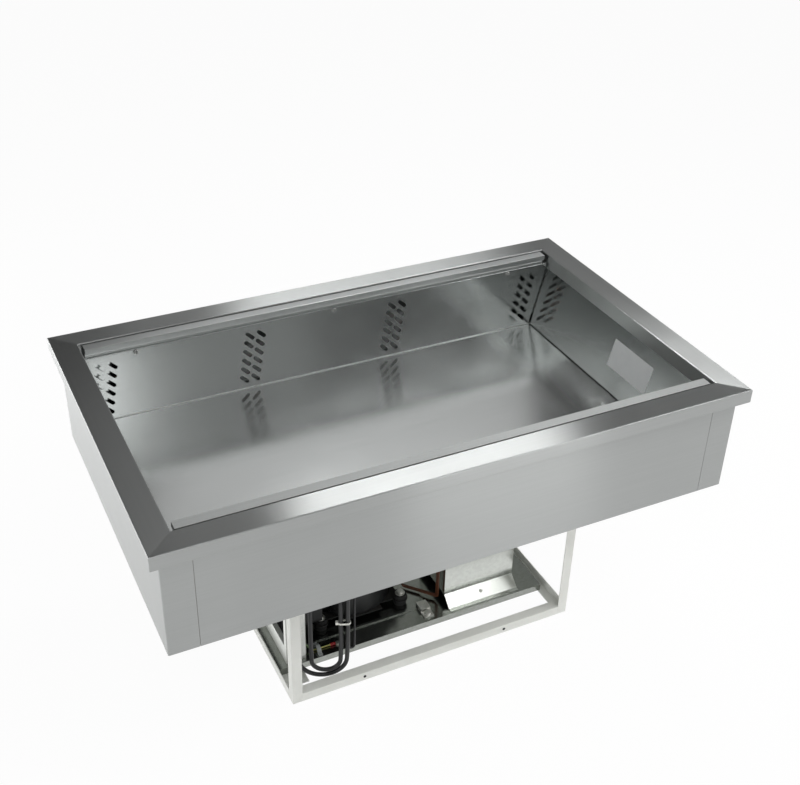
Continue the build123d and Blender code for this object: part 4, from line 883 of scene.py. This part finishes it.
@dataclass(frozen=True)
class CrossScrew:
    """Dome-headed screw with a cross recess; its dome and recess are shares of the head's size."""

    head_radius_mm: float
    head_mm: float
    shank_radius_mm: float
    shank_mm: float
    dome: float = 0.8
    recess_reach: float = 0.62
    recess_half: float = 0.13
    recess_floor: float = 0.45
    tip_edge_mm: float = 0.8
    overlap_mm: float = 0.2
    head_sides: int = 28
    shank_sides: int = 16

    def model(self) -> bpy.types.Object:
        """Model the screw along +Z, its head on the plane of zero height.

        Returns:
            The screw.
        """
        radius, height = self.head_radius_mm, self.head_mm
        head = new_cylinder("screw_model", radius, 0.0, height, self.head_sides)
        rim_level = (height - TOUCH_MM) * MM
        ease_edges(head, self.dome * height, lambda a, b: min(a.z, b.z) > rim_level, segments=5)
        reach, half = self.recess_reach * radius, self.recess_half * radius
        floor, clear = self.recess_floor * height, 1.5 * height
        for wide, deep in ((reach, half), (half, reach)):
            cutter = new_bar("recess_cutter", (-wide, -deep, floor), (wide, deep, clear))
            applied(head, "BOOLEAN", operation="DIFFERENCE", object=cutter)
            bpy.data.objects.remove(cutter)
        shank = new_cylinder(
            "shank_model", self.shank_radius_mm, -self.shank_mm, self.overlap_mm, self.shank_sides
        )
        tip_level = (TOUCH_MM - self.shank_mm) * MM
        ease_edges(shank, self.tip_edge_mm, lambda a, b: max(a.z, b.z) < tip_level, segments=1)
        screw = joined([head, shank], "screw_model")
        smooth(screw)
        return screw


PANEL_SCREW = CrossScrew(head_radius_mm=5.5, head_mm=3.2, shank_radius_mm=2.0, shank_mm=9.0)
FOOT_SCREW = CrossScrew(head_radius_mm=3.8, head_mm=2.2, shank_radius_mm=1.8, shank_mm=1.2)


@dataclass(frozen=True)
class RivetNut:
    """Threaded insert pressed into a sheet: a thin flange in front and a blind sleeve behind. The blind
    sleeve closes the hole, so it shows dark as painted shade.
    """

    flange_radius_mm: float = 3.0
    flange_mm: float = 0.5
    bore_radius_mm: float = 1.9
    sleeve_radius_mm: float = 2.15
    sleeve_mm: float = 9.0
    sides: int = 24

    def model(self) -> bpy.types.Object:
        """Model the insert along +Z, its flange on the plane of zero height.

        Returns:
            The insert.
        """
        nut = new_cylinder("nut_model", self.flange_radius_mm, 0.0, self.flange_mm, self.sides)
        select_faces(nut, lambda middle, normal: normal.z < -FACING)
        bpy.ops.mesh.inset(thickness=(self.flange_radius_mm - self.sleeve_radius_mm) * MM)
        bpy.ops.mesh.extrude_region_move(TRANSFORM_OT_translate={"value": (0, 0, -self.sleeve_mm * MM)})
        select_faces(nut, lambda middle, normal: normal.z > FACING)
        bpy.ops.mesh.inset(thickness=(self.flange_radius_mm - self.bore_radius_mm) * MM)
        depth = self.sleeve_mm - self.flange_mm
        bpy.ops.mesh.extrude_region_move(TRANSFORM_OT_translate={"value": (0, 0, -depth * MM)})
        deselect()
        smooth(nut)
        return nut


def tube_along(name: str, points: Sequence[Vector], radius: float, sides: int = 6) -> bpy.types.Object:
    """Make a round tube on a smooth line through control points.

    Args:
        name: Name of the piece.
        points: Control points in metres.
        radius: Tube radius in metres.
        sides: Steps of a quarter of its round.

    Returns:
        A curve object with one open spline.
    """
    curve = bpy.data.curves.new(name, "CURVE")
    curve.dimensions = "3D"
    curve.bevel_depth = radius
    curve.bevel_resolution = sides
    curve.resolution_u = 10
    curve.use_fill_caps = True
    spline = curve.splines.new("NURBS")
    spline.points.add(len(points) - 1)
    for spot, point in zip(spline.points, points):
        spot.co = (*point, 1.0)
    spline.order_u = 3
    spline.use_endpoint_u = True
    piece = bpy.data.objects.new(name, curve)
    bpy.context.scene.collection.objects.link(piece)
    return piece


@dataclass(frozen=True)
class Lamp:
    """Soft rectangular lamp: its middle and size in metres, and how bright its face is, where 1 is white."""

    name: str
    place: Point
    size: tuple[float, float]
    radiance: float

    def hang(self, aim: Point) -> None:
        """Hang the lamp so that it faces a point.

        Args:
            aim: Point in metres.
        """
        data = bpy.data.lights.new(self.name, "AREA")
        data.shape = "RECTANGLE"
        data.size, data.size_y = self.size
        data.energy = self.radiance * math.pi * self.size[0] * self.size[1]
        lamp = bpy.data.objects.new(self.name, data)
        lamp.location = self.place
        lamp.rotation_euler = (Vector(aim) - Vector(self.place)).to_track_quat("-Z", "Y").to_euler()
        bpy.context.scene.collection.objects.link(lamp)


LAMPS = (
    # The strip draws the highlights on the rims, and the panel lifts the front of the floor
    Lamp("strip_behind", (0.765, 1.0, 2.11), (1.13, 0.30), 13.8),
    Lamp("panel_behind", (0.90, 2.3, 2.38), (1.8, 1.0), 0.50),
    # The key flares on the control box's foot, and the high lamp lights the rims' right ends
    Lamp("key_right", (2.88, -4.09, 4.98), (1.4, 0.50), 6.0),
    Lamp("high_right", (2.4, -1.7, 3.2), (1.4, 1.0), 4.6),
    # From the front: the white frame and the machine under the casing
    Lamp("near_left", (-0.9, -1.5, 2.1), (1.0, 0.8), 3.2),
    Lamp("high_front", (0.1, -1.6, 3.1), (2.2, 1.2), 1.5),
    Lamp("low_front", (0.66, -1.6, 0.5), (0.55, 0.5), 3.0),
    # Fills at both ends
    Lamp("fill_left", (-2.3, -1.3, 1.7), (1.6, 1.6), 0.6),
    Lamp("side_left", (-1.5, 1.5, 0.3), (1.6, 0.5), 4.0),
    Lamp("low_left", (-1.8, -0.4, 0.3), (1.2, 0.45), 3.0),
    Lamp("side_right", (2.4, -0.6, 1.6), (1.4, 1.4), 4.5),
    # Mirrored in the back panel by way of the floor: bright at its left end, then fading
    Lamp("small_front", (-0.15, -2.15, 1.85), (0.5, 0.6), 1.6),
    Lamp("soft_front", (0.52, -2.15, 1.85), (0.8, 0.6), 0.28),
)


@dataclass
class Studio:
    """Pale floor, soft lamps, grey surroundings and the camera of the photograph.

    The sky's stops are heights towards the zenith, from 0 to 1, with their grey.
    """

    floor_half: float = 9.0
    floor_drop_mm: float = 0.3
    floor_glow: float = 0.96
    floor_white: float = 1.0
    floor_tone: str = "#F4F4F3"
    sky: tuple[tuple[float, float], ...] = ((0.0, 1.0), (0.18, 1.0), (0.26, 0.08), (0.90, 0.08), (0.96, 0.25))
    sensor_mm: float = 36.0
    view_limit: float = 60.0
    lens_mm: float = 52.85
    azimuth: float = 26.769
    elevation: float = 32.820
    roll: float = 1.550
    eye: Point = (-0.82725, -1.67729, 1.69159)
    aim: Point = (0.0, 0.0, 0.45)

    def camera(self) -> None:
        """Set the camera where the photograph was taken from."""
        az, el, roll = (math.radians(v) for v in (self.azimuth, self.elevation, self.roll))
        back = Vector((-math.sin(az) * math.cos(el), -math.cos(az) * math.cos(el), math.sin(el)))
        right = (-back).cross(Vector(UPRIGHT)).normalized()
        up = right.cross(-back)
        side = math.cos(roll) * right + math.sin(roll) * up
        top = -math.sin(roll) * right + math.cos(roll) * up
        data = bpy.data.cameras.new("photo_camera")
        data.lens = self.lens_mm
        data.sensor_width = self.sensor_mm
        data.clip_end = self.view_limit
        camera = bpy.data.objects.new("photo_camera", data)
        turn = Matrix((side, top, back)).transposed().to_4x4()
        camera.matrix_world = Matrix.Translation(self.eye) @ turn
        bpy.context.scene.collection.objects.link(camera)
        bpy.context.scene.camera = camera

    def floor(self) -> None:
        """Lay the floor: white to the camera and in mirrors, with the object's soft shadow kept."""
        deselect()
        level = -self.floor_drop_mm * MM
        bpy.ops.mesh.primitive_plane_add(size=2 * self.floor_half, location=(0, 0, level))
        plane = bpy.context.active_object
        plane.name = "studio_floor"
        material = bpy.data.materials.new("pale_floor")
        material.use_nodes = True
        tree = material.node_tree
        tree.nodes.remove(tree.nodes[SHADER])
        matt = add_node(tree, "ShaderNodeBsdfDiffuse", {"Color": linear(self.floor_tone)})
        glow = add_node(
            tree, "ShaderNodeEmission", {"Color": linear("#FFFFFF"), "Strength": self.floor_white}
        )
        ray = add_node(tree, "ShaderNodeLightPath")
        mirrored = add_node(
            tree, "ShaderNodeMath", {0: ray.outputs["Is Glossy Ray"], 1: ray.outputs["Is Transmission Ray"]},
            operation="MAXIMUM",
        )
        shown = add_node(
            tree, "ShaderNodeMath", {0: ray.outputs["Is Camera Ray"], 1: mirrored.outputs[0]},
            operation="MAXIMUM",
        )
        share = add_node(
            tree, "ShaderNodeMath", {0: shown.outputs[0], 1: self.floor_glow}, operation="MULTIPLY"
        )
        both = add_node(
            tree, "ShaderNodeMixShader", {0: share.outputs[0], 1: matt.outputs[0], 2: glow.outputs[0]}
        )
        tree.links.new(both.outputs[0], tree.nodes["Material Output"].inputs["Surface"])
        plane.data.materials.append(material)

    def surroundings(self) -> None:
        """Surround the object with a pale horizon, dim grey walls and a brighter middle of the ceiling."""
        world = bpy.data.worlds.new("studio_world")
        bpy.context.scene.world = world
        world.use_nodes = True
        tree = world.node_tree
        towards = add_node(tree, "ShaderNodeTexCoord").outputs["Generated"]
        height = add_node(tree, "ShaderNodeSeparateXYZ", {0: towards})
        ramp = add_node(tree, "ShaderNodeValToRGB", {0: height.outputs[2]})
        while len(ramp.color_ramp.elements) < len(self.sky):
            ramp.color_ramp.elements.new(0.5)
        for element, (spot, grey) in zip(ramp.color_ramp.elements, self.sky):
            element.position = spot
            element.color = (grey, grey, grey, 1.0)
        tree.links.new(ramp.outputs[0], tree.nodes["Background"].inputs["Color"])

    def build(self) -> None:
        """Build the whole set."""
        self.camera()
        self.floor()
        self.surroundings()
        for lamp in LAMPS:
            lamp.hang(self.aim)
        bpy.context.scene.view_settings.view_transform = "Standard"


@dataclass
class SubAssembly:
    """Pieces of the well that belong together, and the dresser that finishes them."""

    dresser: Dresser

    def build(self) -> None:
        """Build and dress the pieces."""
        raise NotImplementedError


@dataclass
class MainsCord(SubAssembly):
    """Mains lead from its gland to the plug, wound as a tied hank on its hook."""

    radius_mm: float = 4.3
    length_mm: float = 1399.7
    moulded_edge_mm: float = 1.0
    lead: tuple[Point, ...] = (
        (-192, -165, 297),
        (-192, -165, 262),
        (-192, -199, 200),
        (-192, -199, 165),
    )
    turn_deg: float = 20.0
    runs_mm: tuple[float, ...] = (0.0, 57.0, -13.0, 82.0)
    levels_mm: tuple[float, ...] = (50.5, 254.0, 56.5, 254.0)
    plug: Point = (-146, -190, 251)
    arc_steps: int = 6

    def points(self) -> list[Vector]:
        """Give the cord's control points, its turns by a loop.

        Returns:
            Points in metres from the gland to the plug.
        """
        turn = math.radians(self.turn_deg)
        left = Vector((-math.cos(turn), math.sin(turn)))
        spots = [Vector(self.lead[-1][:2]) + run * left for run in self.runs_mm]
        spots.append(Vector(self.plug[:2]))
        route: list[Point] = list(self.lead)
        outset = 1 / math.cos(math.pi / self.arc_steps / 2)
        for i, level in enumerate(self.levels_mm):
            way = 1 if i % 2 else -1
            middle, half = (spots[i] + spots[i + 1]) / 2, (spots[i + 1] - spots[i]) / 2
            for k in range(self.arc_steps + 1):
                angle = math.pi * k / self.arc_steps
                reach = 1.0 if k in (0, self.arc_steps) else outset
                spot = middle - reach * math.cos(angle) * half
                route.append((spot.x, spot.y, level + way * reach * half.length * math.sin(angle)))
        route.append(self.plug)
        return metres(route)

    def build(self) -> None:
        """Make the cord and dress what is on it."""
        cord = tube_along("mains_cord", self.points(), self.radius_mm * MM, sides=5)
        self.dresser.settle(cord, ROOT_BODY, "cord_rubber", CORD_SHEATH, "mains_lead", "mains_hank")
        plug, gland = (
            self.dresser.ease(name, self.moulded_edge_mm, finish, slot, segments=3, made="moulded")
            for name, finish, slot in (
                ("mains_plug", BLACK_RUBBER, "cord_rubber"), ("cord_gland", BLACK_PLASTIC, "black_plastic"),
            )
        )
        self.dresser.coat(WHITE_NYLON, "cord_tie")


@dataclass
class Basin(SubAssembly):
    """Rim, casing, liner, floor, air panels, pan rails and bare plate."""

    rim_edge_mm: float = 2.2
    corner_mm: float = 2.0
    casing_half_mm: tuple[float, float] = (546.0, 333.5)
    rail_edge_mm: float = 0.5
    plate_edge_mm: float = 0.25
    fin_reach_mm: float = 400.0
    fin_pitch_mm: float = 2.5
    fin_folds: int = 6
    fold_mm: float = 0.9
    foil_mm: float = 0.3
    fin_place_mm: tuple[float, float] = (289.0, 442.0)
    fin_size_mm: tuple[float, float] = (22.0, 84.0)
    screw_x_mm: float = 412.5
    screw_level_mm: float = 524.0
    panel_face_mm: float = 275.0
    panel_edge_mm: float = 0.9
    hem_mm: float = 1.5
    hem_edge_mm: float = 0.6
    hem_reach_mm: float = 483.0
    floor_mm: float = 384.0
    half_length_mm: float = 562.5
    half_depth_mm: float = 350.0
    height_mm: float = 550.0

    def rim_fold(self, along: int) -> EdgeTest:
        """Give the test that picks a rim member's long edges at its top and outer face.

        Args:
            along: Number of the axis that the member runs along.

        Returns:
            Test of an edge's two ends.
        """
        top, outer = self.height_mm * MM, (self.half_length_mm if along else self.half_depth_mm) * MM

        def folded(a: Vector, b: Vector) -> bool:
            """Pick a long edge at either place."""
            at_fold = min(abs(a.z - top), abs(abs(a[1 - along]) - outer)) < TOUCH_MM * MM
            return abs(a[along] - b[along]) > LONG_RUN_MM * MM and at_fold

        return folded

    def rims(self) -> None:
        """Round the folded edges of the four rim members along their length."""
        for name, axis, finish in (
            ("rim_front", 0, STAINLESS_X), ("rim_back", 0, STAINLESS_X),
            ("rim_left", 1, STAINLESS_Y), ("rim_right", 1, STAINLESS_Y),
        ):
            fold = self.rim_fold(axis)
            self.dresser.ease(
                name, self.rim_edge_mm, finish, "stainless", segments=4, pick=fold, made="folded"
            )

    def casing(self) -> None:
        """Round the casing's corner bends and finish its panels."""
        half_x, half_y = ((half - TOUCH_MM) * MM for half in self.casing_half_mm)

        def corner(a: Vector, b: Vector) -> bool:
            """Pick the upright edges at the casing's corners."""
            return abs(a.z - b.z) > BEND_RUN_MM * MM and abs(a.x) > half_x and abs(a.y) > half_y

        for name in ("casing_left", "casing_right"):
            self.dresser.ease(
                name, self.corner_mm, STAINLESS_ROUND, "stainless", segments=3, pick=corner, made="bent"
            )
        self.dresser.coat(STAINLESS_X, "casing_front", "casing_back")
        self.dresser.coat(DULL_ZINC, "casing_bottom")
        self.dresser.coat(RIGID_FOAM, "insulation")

    def at_panel_face(self, a: Vector, b: Vector) -> bool:
        """Pick the long edges of an air panel's face."""
        near = abs(a.y) < (self.panel_face_mm + 2 * TOUCH_MM) * MM
        return abs(a.x - b.x) > BEND_RUN_MM * MM and near

    def inside(self) -> None:
        """Finish the liner, floor, panels, rails and bare plate."""
        self.dresser.coat(LINER_SHEET, "well_liner")
        self.dresser.coat(LINER_END_SHEET, "liner_ends")
        self.dresser.coat(FLOOR_SHEET, "floor_plate")
        for name in ("air_panel_front", "air_panel_back"):
            self.dresser.ease(
                name, self.panel_edge_mm, PANEL_SHEET, "stainless", pick=self.at_panel_face, made="folded"
            )
        self.dresser.coat(ZINC_PLATE, "panel_clips")
        self.dresser.ease("bare_plate", self.plate_edge_mm, BARE_FILM, "plate_blank")
        self.dresser.coat(DRAWN_COPPER, "evaporator_tubes")
        self.dresser.coat(LINER_SHEET, "drain_outlet")
        for name, finish in (("pan_rail_front", SHADED_RAIL), ("pan_rail_back", RAIL_SHEET)):
            self.dresser.ease(
                name, self.rail_edge_mm, finish, "stainless", body=name, pick=lengthwise, made="folded"
            )

    def hems(self) -> None:
        """Lay the floor sheet's rolled hem along the foot of each air panel."""
        size = self.hem_mm
        bars = []
        for side in (-1, 1):
            outer, inner = side * self.panel_face_mm, side * (self.panel_face_mm - size)
            bar = new_bar(
                "hem_model", (-self.hem_reach_mm, min(outer, inner), self.floor_mm),
                (self.hem_reach_mm, max(outer, inner), self.floor_mm + size),
            )
            ease_edges(bar, self.hem_edge_mm, lengthwise, segments=3)
            bars.append(bar)
        self.dresser.settle(joined(bars, "floor_hems"), ROOT_BODY, "stainless", RAIL_SHEET)

    def fins(self) -> None:
        """Pack each evaporator with folded fins at their real pitch."""
        width, height = (v * MM for v in self.fin_size_mm)
        banks = []
        for side in (-1, 1):
            deselect()
            bpy.ops.mesh.primitive_grid_add(x_subdivisions=self.fin_folds, y_subdivisions=1, size=1)
            bank = bpy.context.active_object
            bank.scale = (width, height, 1)
            bank.rotation_euler = (math.pi / 2, 0, math.pi / 2)
            out, level = side * self.fin_place_mm[0], self.fin_place_mm[1]
            bank.location = Vector((-self.fin_reach_mm, out, level)) * MM
            bpy.ops.object.transform_apply(location=True, rotation=True, scale=True)
            step = width / self.fin_folds
            clear_selection(bank.data)
            for vertex in bank.data.vertices:
                vertex.select = round((vertex.co.y - out * MM) / step) % 2 == 0
            bpy.context.tool_settings.mesh_select_mode = (True, False, False)
            bpy.ops.object.mode_set(mode="EDIT")
            bpy.ops.transform.translate(value=(self.fold_mm * MM, 0, 0))
            bpy.ops.object.mode_set(mode="OBJECT")
            applied(bank, "SOLIDIFY", thickness=self.foil_mm * MM, offset=0.0)
            applied(
                bank, "ARRAY", count=int(2 * self.fin_reach_mm / self.fin_pitch_mm),
                use_relative_offset=False, use_constant_offset=True,
                constant_offset_displace=(self.fin_pitch_mm * MM, 0, 0),
            )
            banks.append(bank)
        pack = joined(banks, "evaporator_fin_pack")
        self.dresser.settle(pack, ROOT_BODY, "fin_aluminium", FIN_STOCK, "evaporator_fins")

    def screws(self) -> None:
        """Set the dome-headed screws of both air panels."""
        spots = [
            ((x, side * self.panel_face_mm, self.screw_level_mm), (0, -side, 0))
            for side in (-1, 1) for x in (-self.screw_x_mm, 0, self.screw_x_mm)
        ]
        screws = placed_copies(PANEL_SCREW.model(), "panel_screws_domed", spots)
        self.dresser.settle(screws, ROOT_BODY, "stainless", SCREW_STEEL, "panel_screws")

    def build(self) -> None:
        """Dress the basin from the rim down."""
        self.rims()
        self.casing()
        self.inside()
        self.hems()
        self.fins()
        self.screws()


@dataclass
class MachineUnit(SubAssembly):
    """White frame, tray, compressor, condenser, fan and pipes."""

    angle_edge_mm: float = 0.7
    tray_edge_mm: float = 0.9
    sheet_edge_mm: float = 0.35
    bolt_edge_mm: float = 0.5
    front_hole_mm: float = 154.0
    frame_face_mm: float = -226.0
    hole_level_mm: float = 10.0

    def frame(self) -> None:
        """Ease the angle bars, and press dark blind inserts into the front rail's holes as painted shade."""
        for name in (
            "frame_leg_front_left", "frame_leg_front_right", "frame_leg_back_left", "frame_leg_back_right",
            "frame_rail_front", "frame_rail_back", "frame_rail_left", "frame_rail_right",
        ):
            self.dresser.ease(name, self.angle_edge_mm, WHITE_COAT, "white_paint")
        spots = [
            ((x, self.frame_face_mm, self.hole_level_mm), (0, -1, 0))
            for x in (-self.front_hole_mm, self.front_hole_mm)
        ]
        nuts = placed_copies(RivetNut().model(), "front_rail_shade_inserts", spots)
        self.dresser.settle(nuts, ROOT_BODY, "black_paint", SHADE_INSERT)

    def plant(self) -> None:
        """Dress the tray and the refrigerating machine on it."""
        self.dresser.ease("base_tray", self.tray_edge_mm, ZINC_SHEET, "galvanised", segments=3)
        self.dresser.ease("condenser_frame", self.sheet_edge_mm, LIT_ZINC, "galvanised")
        for name in ("fan_shroud", "cord_hook", "compressor_base_plate"):
            self.dresser.ease(name, self.sheet_edge_mm, ZINC_SHEET, "galvanised")
        for name in ("compressor_bolts", "plate_clamp"):
            self.dresser.ease(name, self.bolt_edge_mm, ZINC_PLATE, "zinc_fasteners")
        self.dresser.coat(BLACK_COAT, "compressor_shell", "condenser_coil")
        self.dresser.coat(BLACK_PLASTIC, "compressor_terminal_cover", "fan_frame", "fan_rotor")
        self.dresser.coat(BLACK_RUBBER, "compressor_grommets")
        self.dresser.coat(DRAWN_COPPER, "refrigerant_pipes")

    def build(self) -> None:
        """Dress the frame and what it carries."""
        self.frame()
        self.plant()


@dataclass
class ControlGear(SubAssembly):
    """Control box, thermostat, switch and thin wires."""

    sheet_edge_mm: float = 0.35
    knob_edge_mm: float = 0.8
    switch_edge_mm: float = 0.4
    foot_screw: Point = (155.0, -126.2, 29.6)
    foot_slope: Point = (0.0, -0.674, 0.739)
    pointer_low: Point = (124.1, -131.95, 156.0)
    pointer_high: Point = (125.9, -131.4, 166.5)
    pointer_edge_mm: float = 0.25

    def box(self) -> None:
        """Ease the box and its lid, and set the screw of its front foot."""
        for name in ("control_box", "control_box_lid"):
            self.dresser.ease(name, self.sheet_edge_mm, BOX_ZINC, "galvanised")
        spot = (self.foot_screw, self.foot_slope)
        screw = placed_copies(FOOT_SCREW.model(), "box_foot_screw", [spot])
        self.dresser.settle(screw, ROOT_BODY, "zinc_fasteners", ZINC_PLATE)

    def controls(self) -> None:
        """Ease the knob, its pointer, the switch and its rocker."""
        self.dresser.coat(BLACK_PLASTIC, "thermostat_body")
        knob, switch = self.knob_edge_mm, self.switch_edge_mm
        self.dresser.ease("thermostat_knob", knob, BLACK_PLASTIC, "black_plastic", body="knob", segments=3)
        self.dresser.ease("switch_body", switch, BLACK_PLASTIC, "black_plastic")
        self.dresser.ease("switch_rocker", switch, ROCKER_RED, "switch_red", body="rocker", segments=3)
        pointer = new_bar("knob_pointer", self.pointer_low, self.pointer_high)
        ease_edges(pointer, self.pointer_edge_mm, any_edge, segments=2)
        self.dresser.settle(pointer, "knob", "white_paint", WHITE_NYLON)

    def wires(self) -> None:
        """Split the control wires into strands of their own colours, and finish the rest."""
        bundle = merged_copy(self.dresser.nodes["control_wires"], "control_wire_strand")
        activate(bundle)
        bpy.ops.object.mode_set(mode="EDIT")
        bpy.ops.mesh.select_all(action="SELECT")
        bpy.ops.mesh.separate(type="LOOSE")
        bpy.ops.object.mode_set(mode="OBJECT")
        front_first = sorted(
            bpy.context.selected_objects, key=lambda strand: min(v.co.y for v in strand.data.vertices)
        )
        for strand, finish in zip(front_first, (BROWN_SHEATH, YELLOW_SHEATH, RED_SHEATH)):
            smooth(strand)
            self.dresser.settle(strand, ROOT_BODY, "wire_brown", finish, "control_wires")
        self.dresser.coat(CORD_SHEATH, "probe_lead")
        self.dresser.coat(EARTH_LEAD, "earth_wire")
        self.dresser.coat(GREY_NYLON, "wire_arch")

    def build(self) -> None:
        """Dress the controls and wires."""
        self.box()
        self.controls()
        self.wires()


def main() -> None:
    """Load the frame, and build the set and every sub-assembly."""
    logging.basicConfig(level=logging.INFO, format="%(name)s: %(message)s")
    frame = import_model()
    deselect()
    dresser = Dresser(frame)
    Studio().build()
    for part in (MainsCord(dresser), Basin(dresser), MachineUnit(dresser), ControlGear(dresser)):
        part.build()
        log.info("%s done", type(part).__name__)
    bpy.context.view_layer.update()


if __name__ == "__main__":
    main()
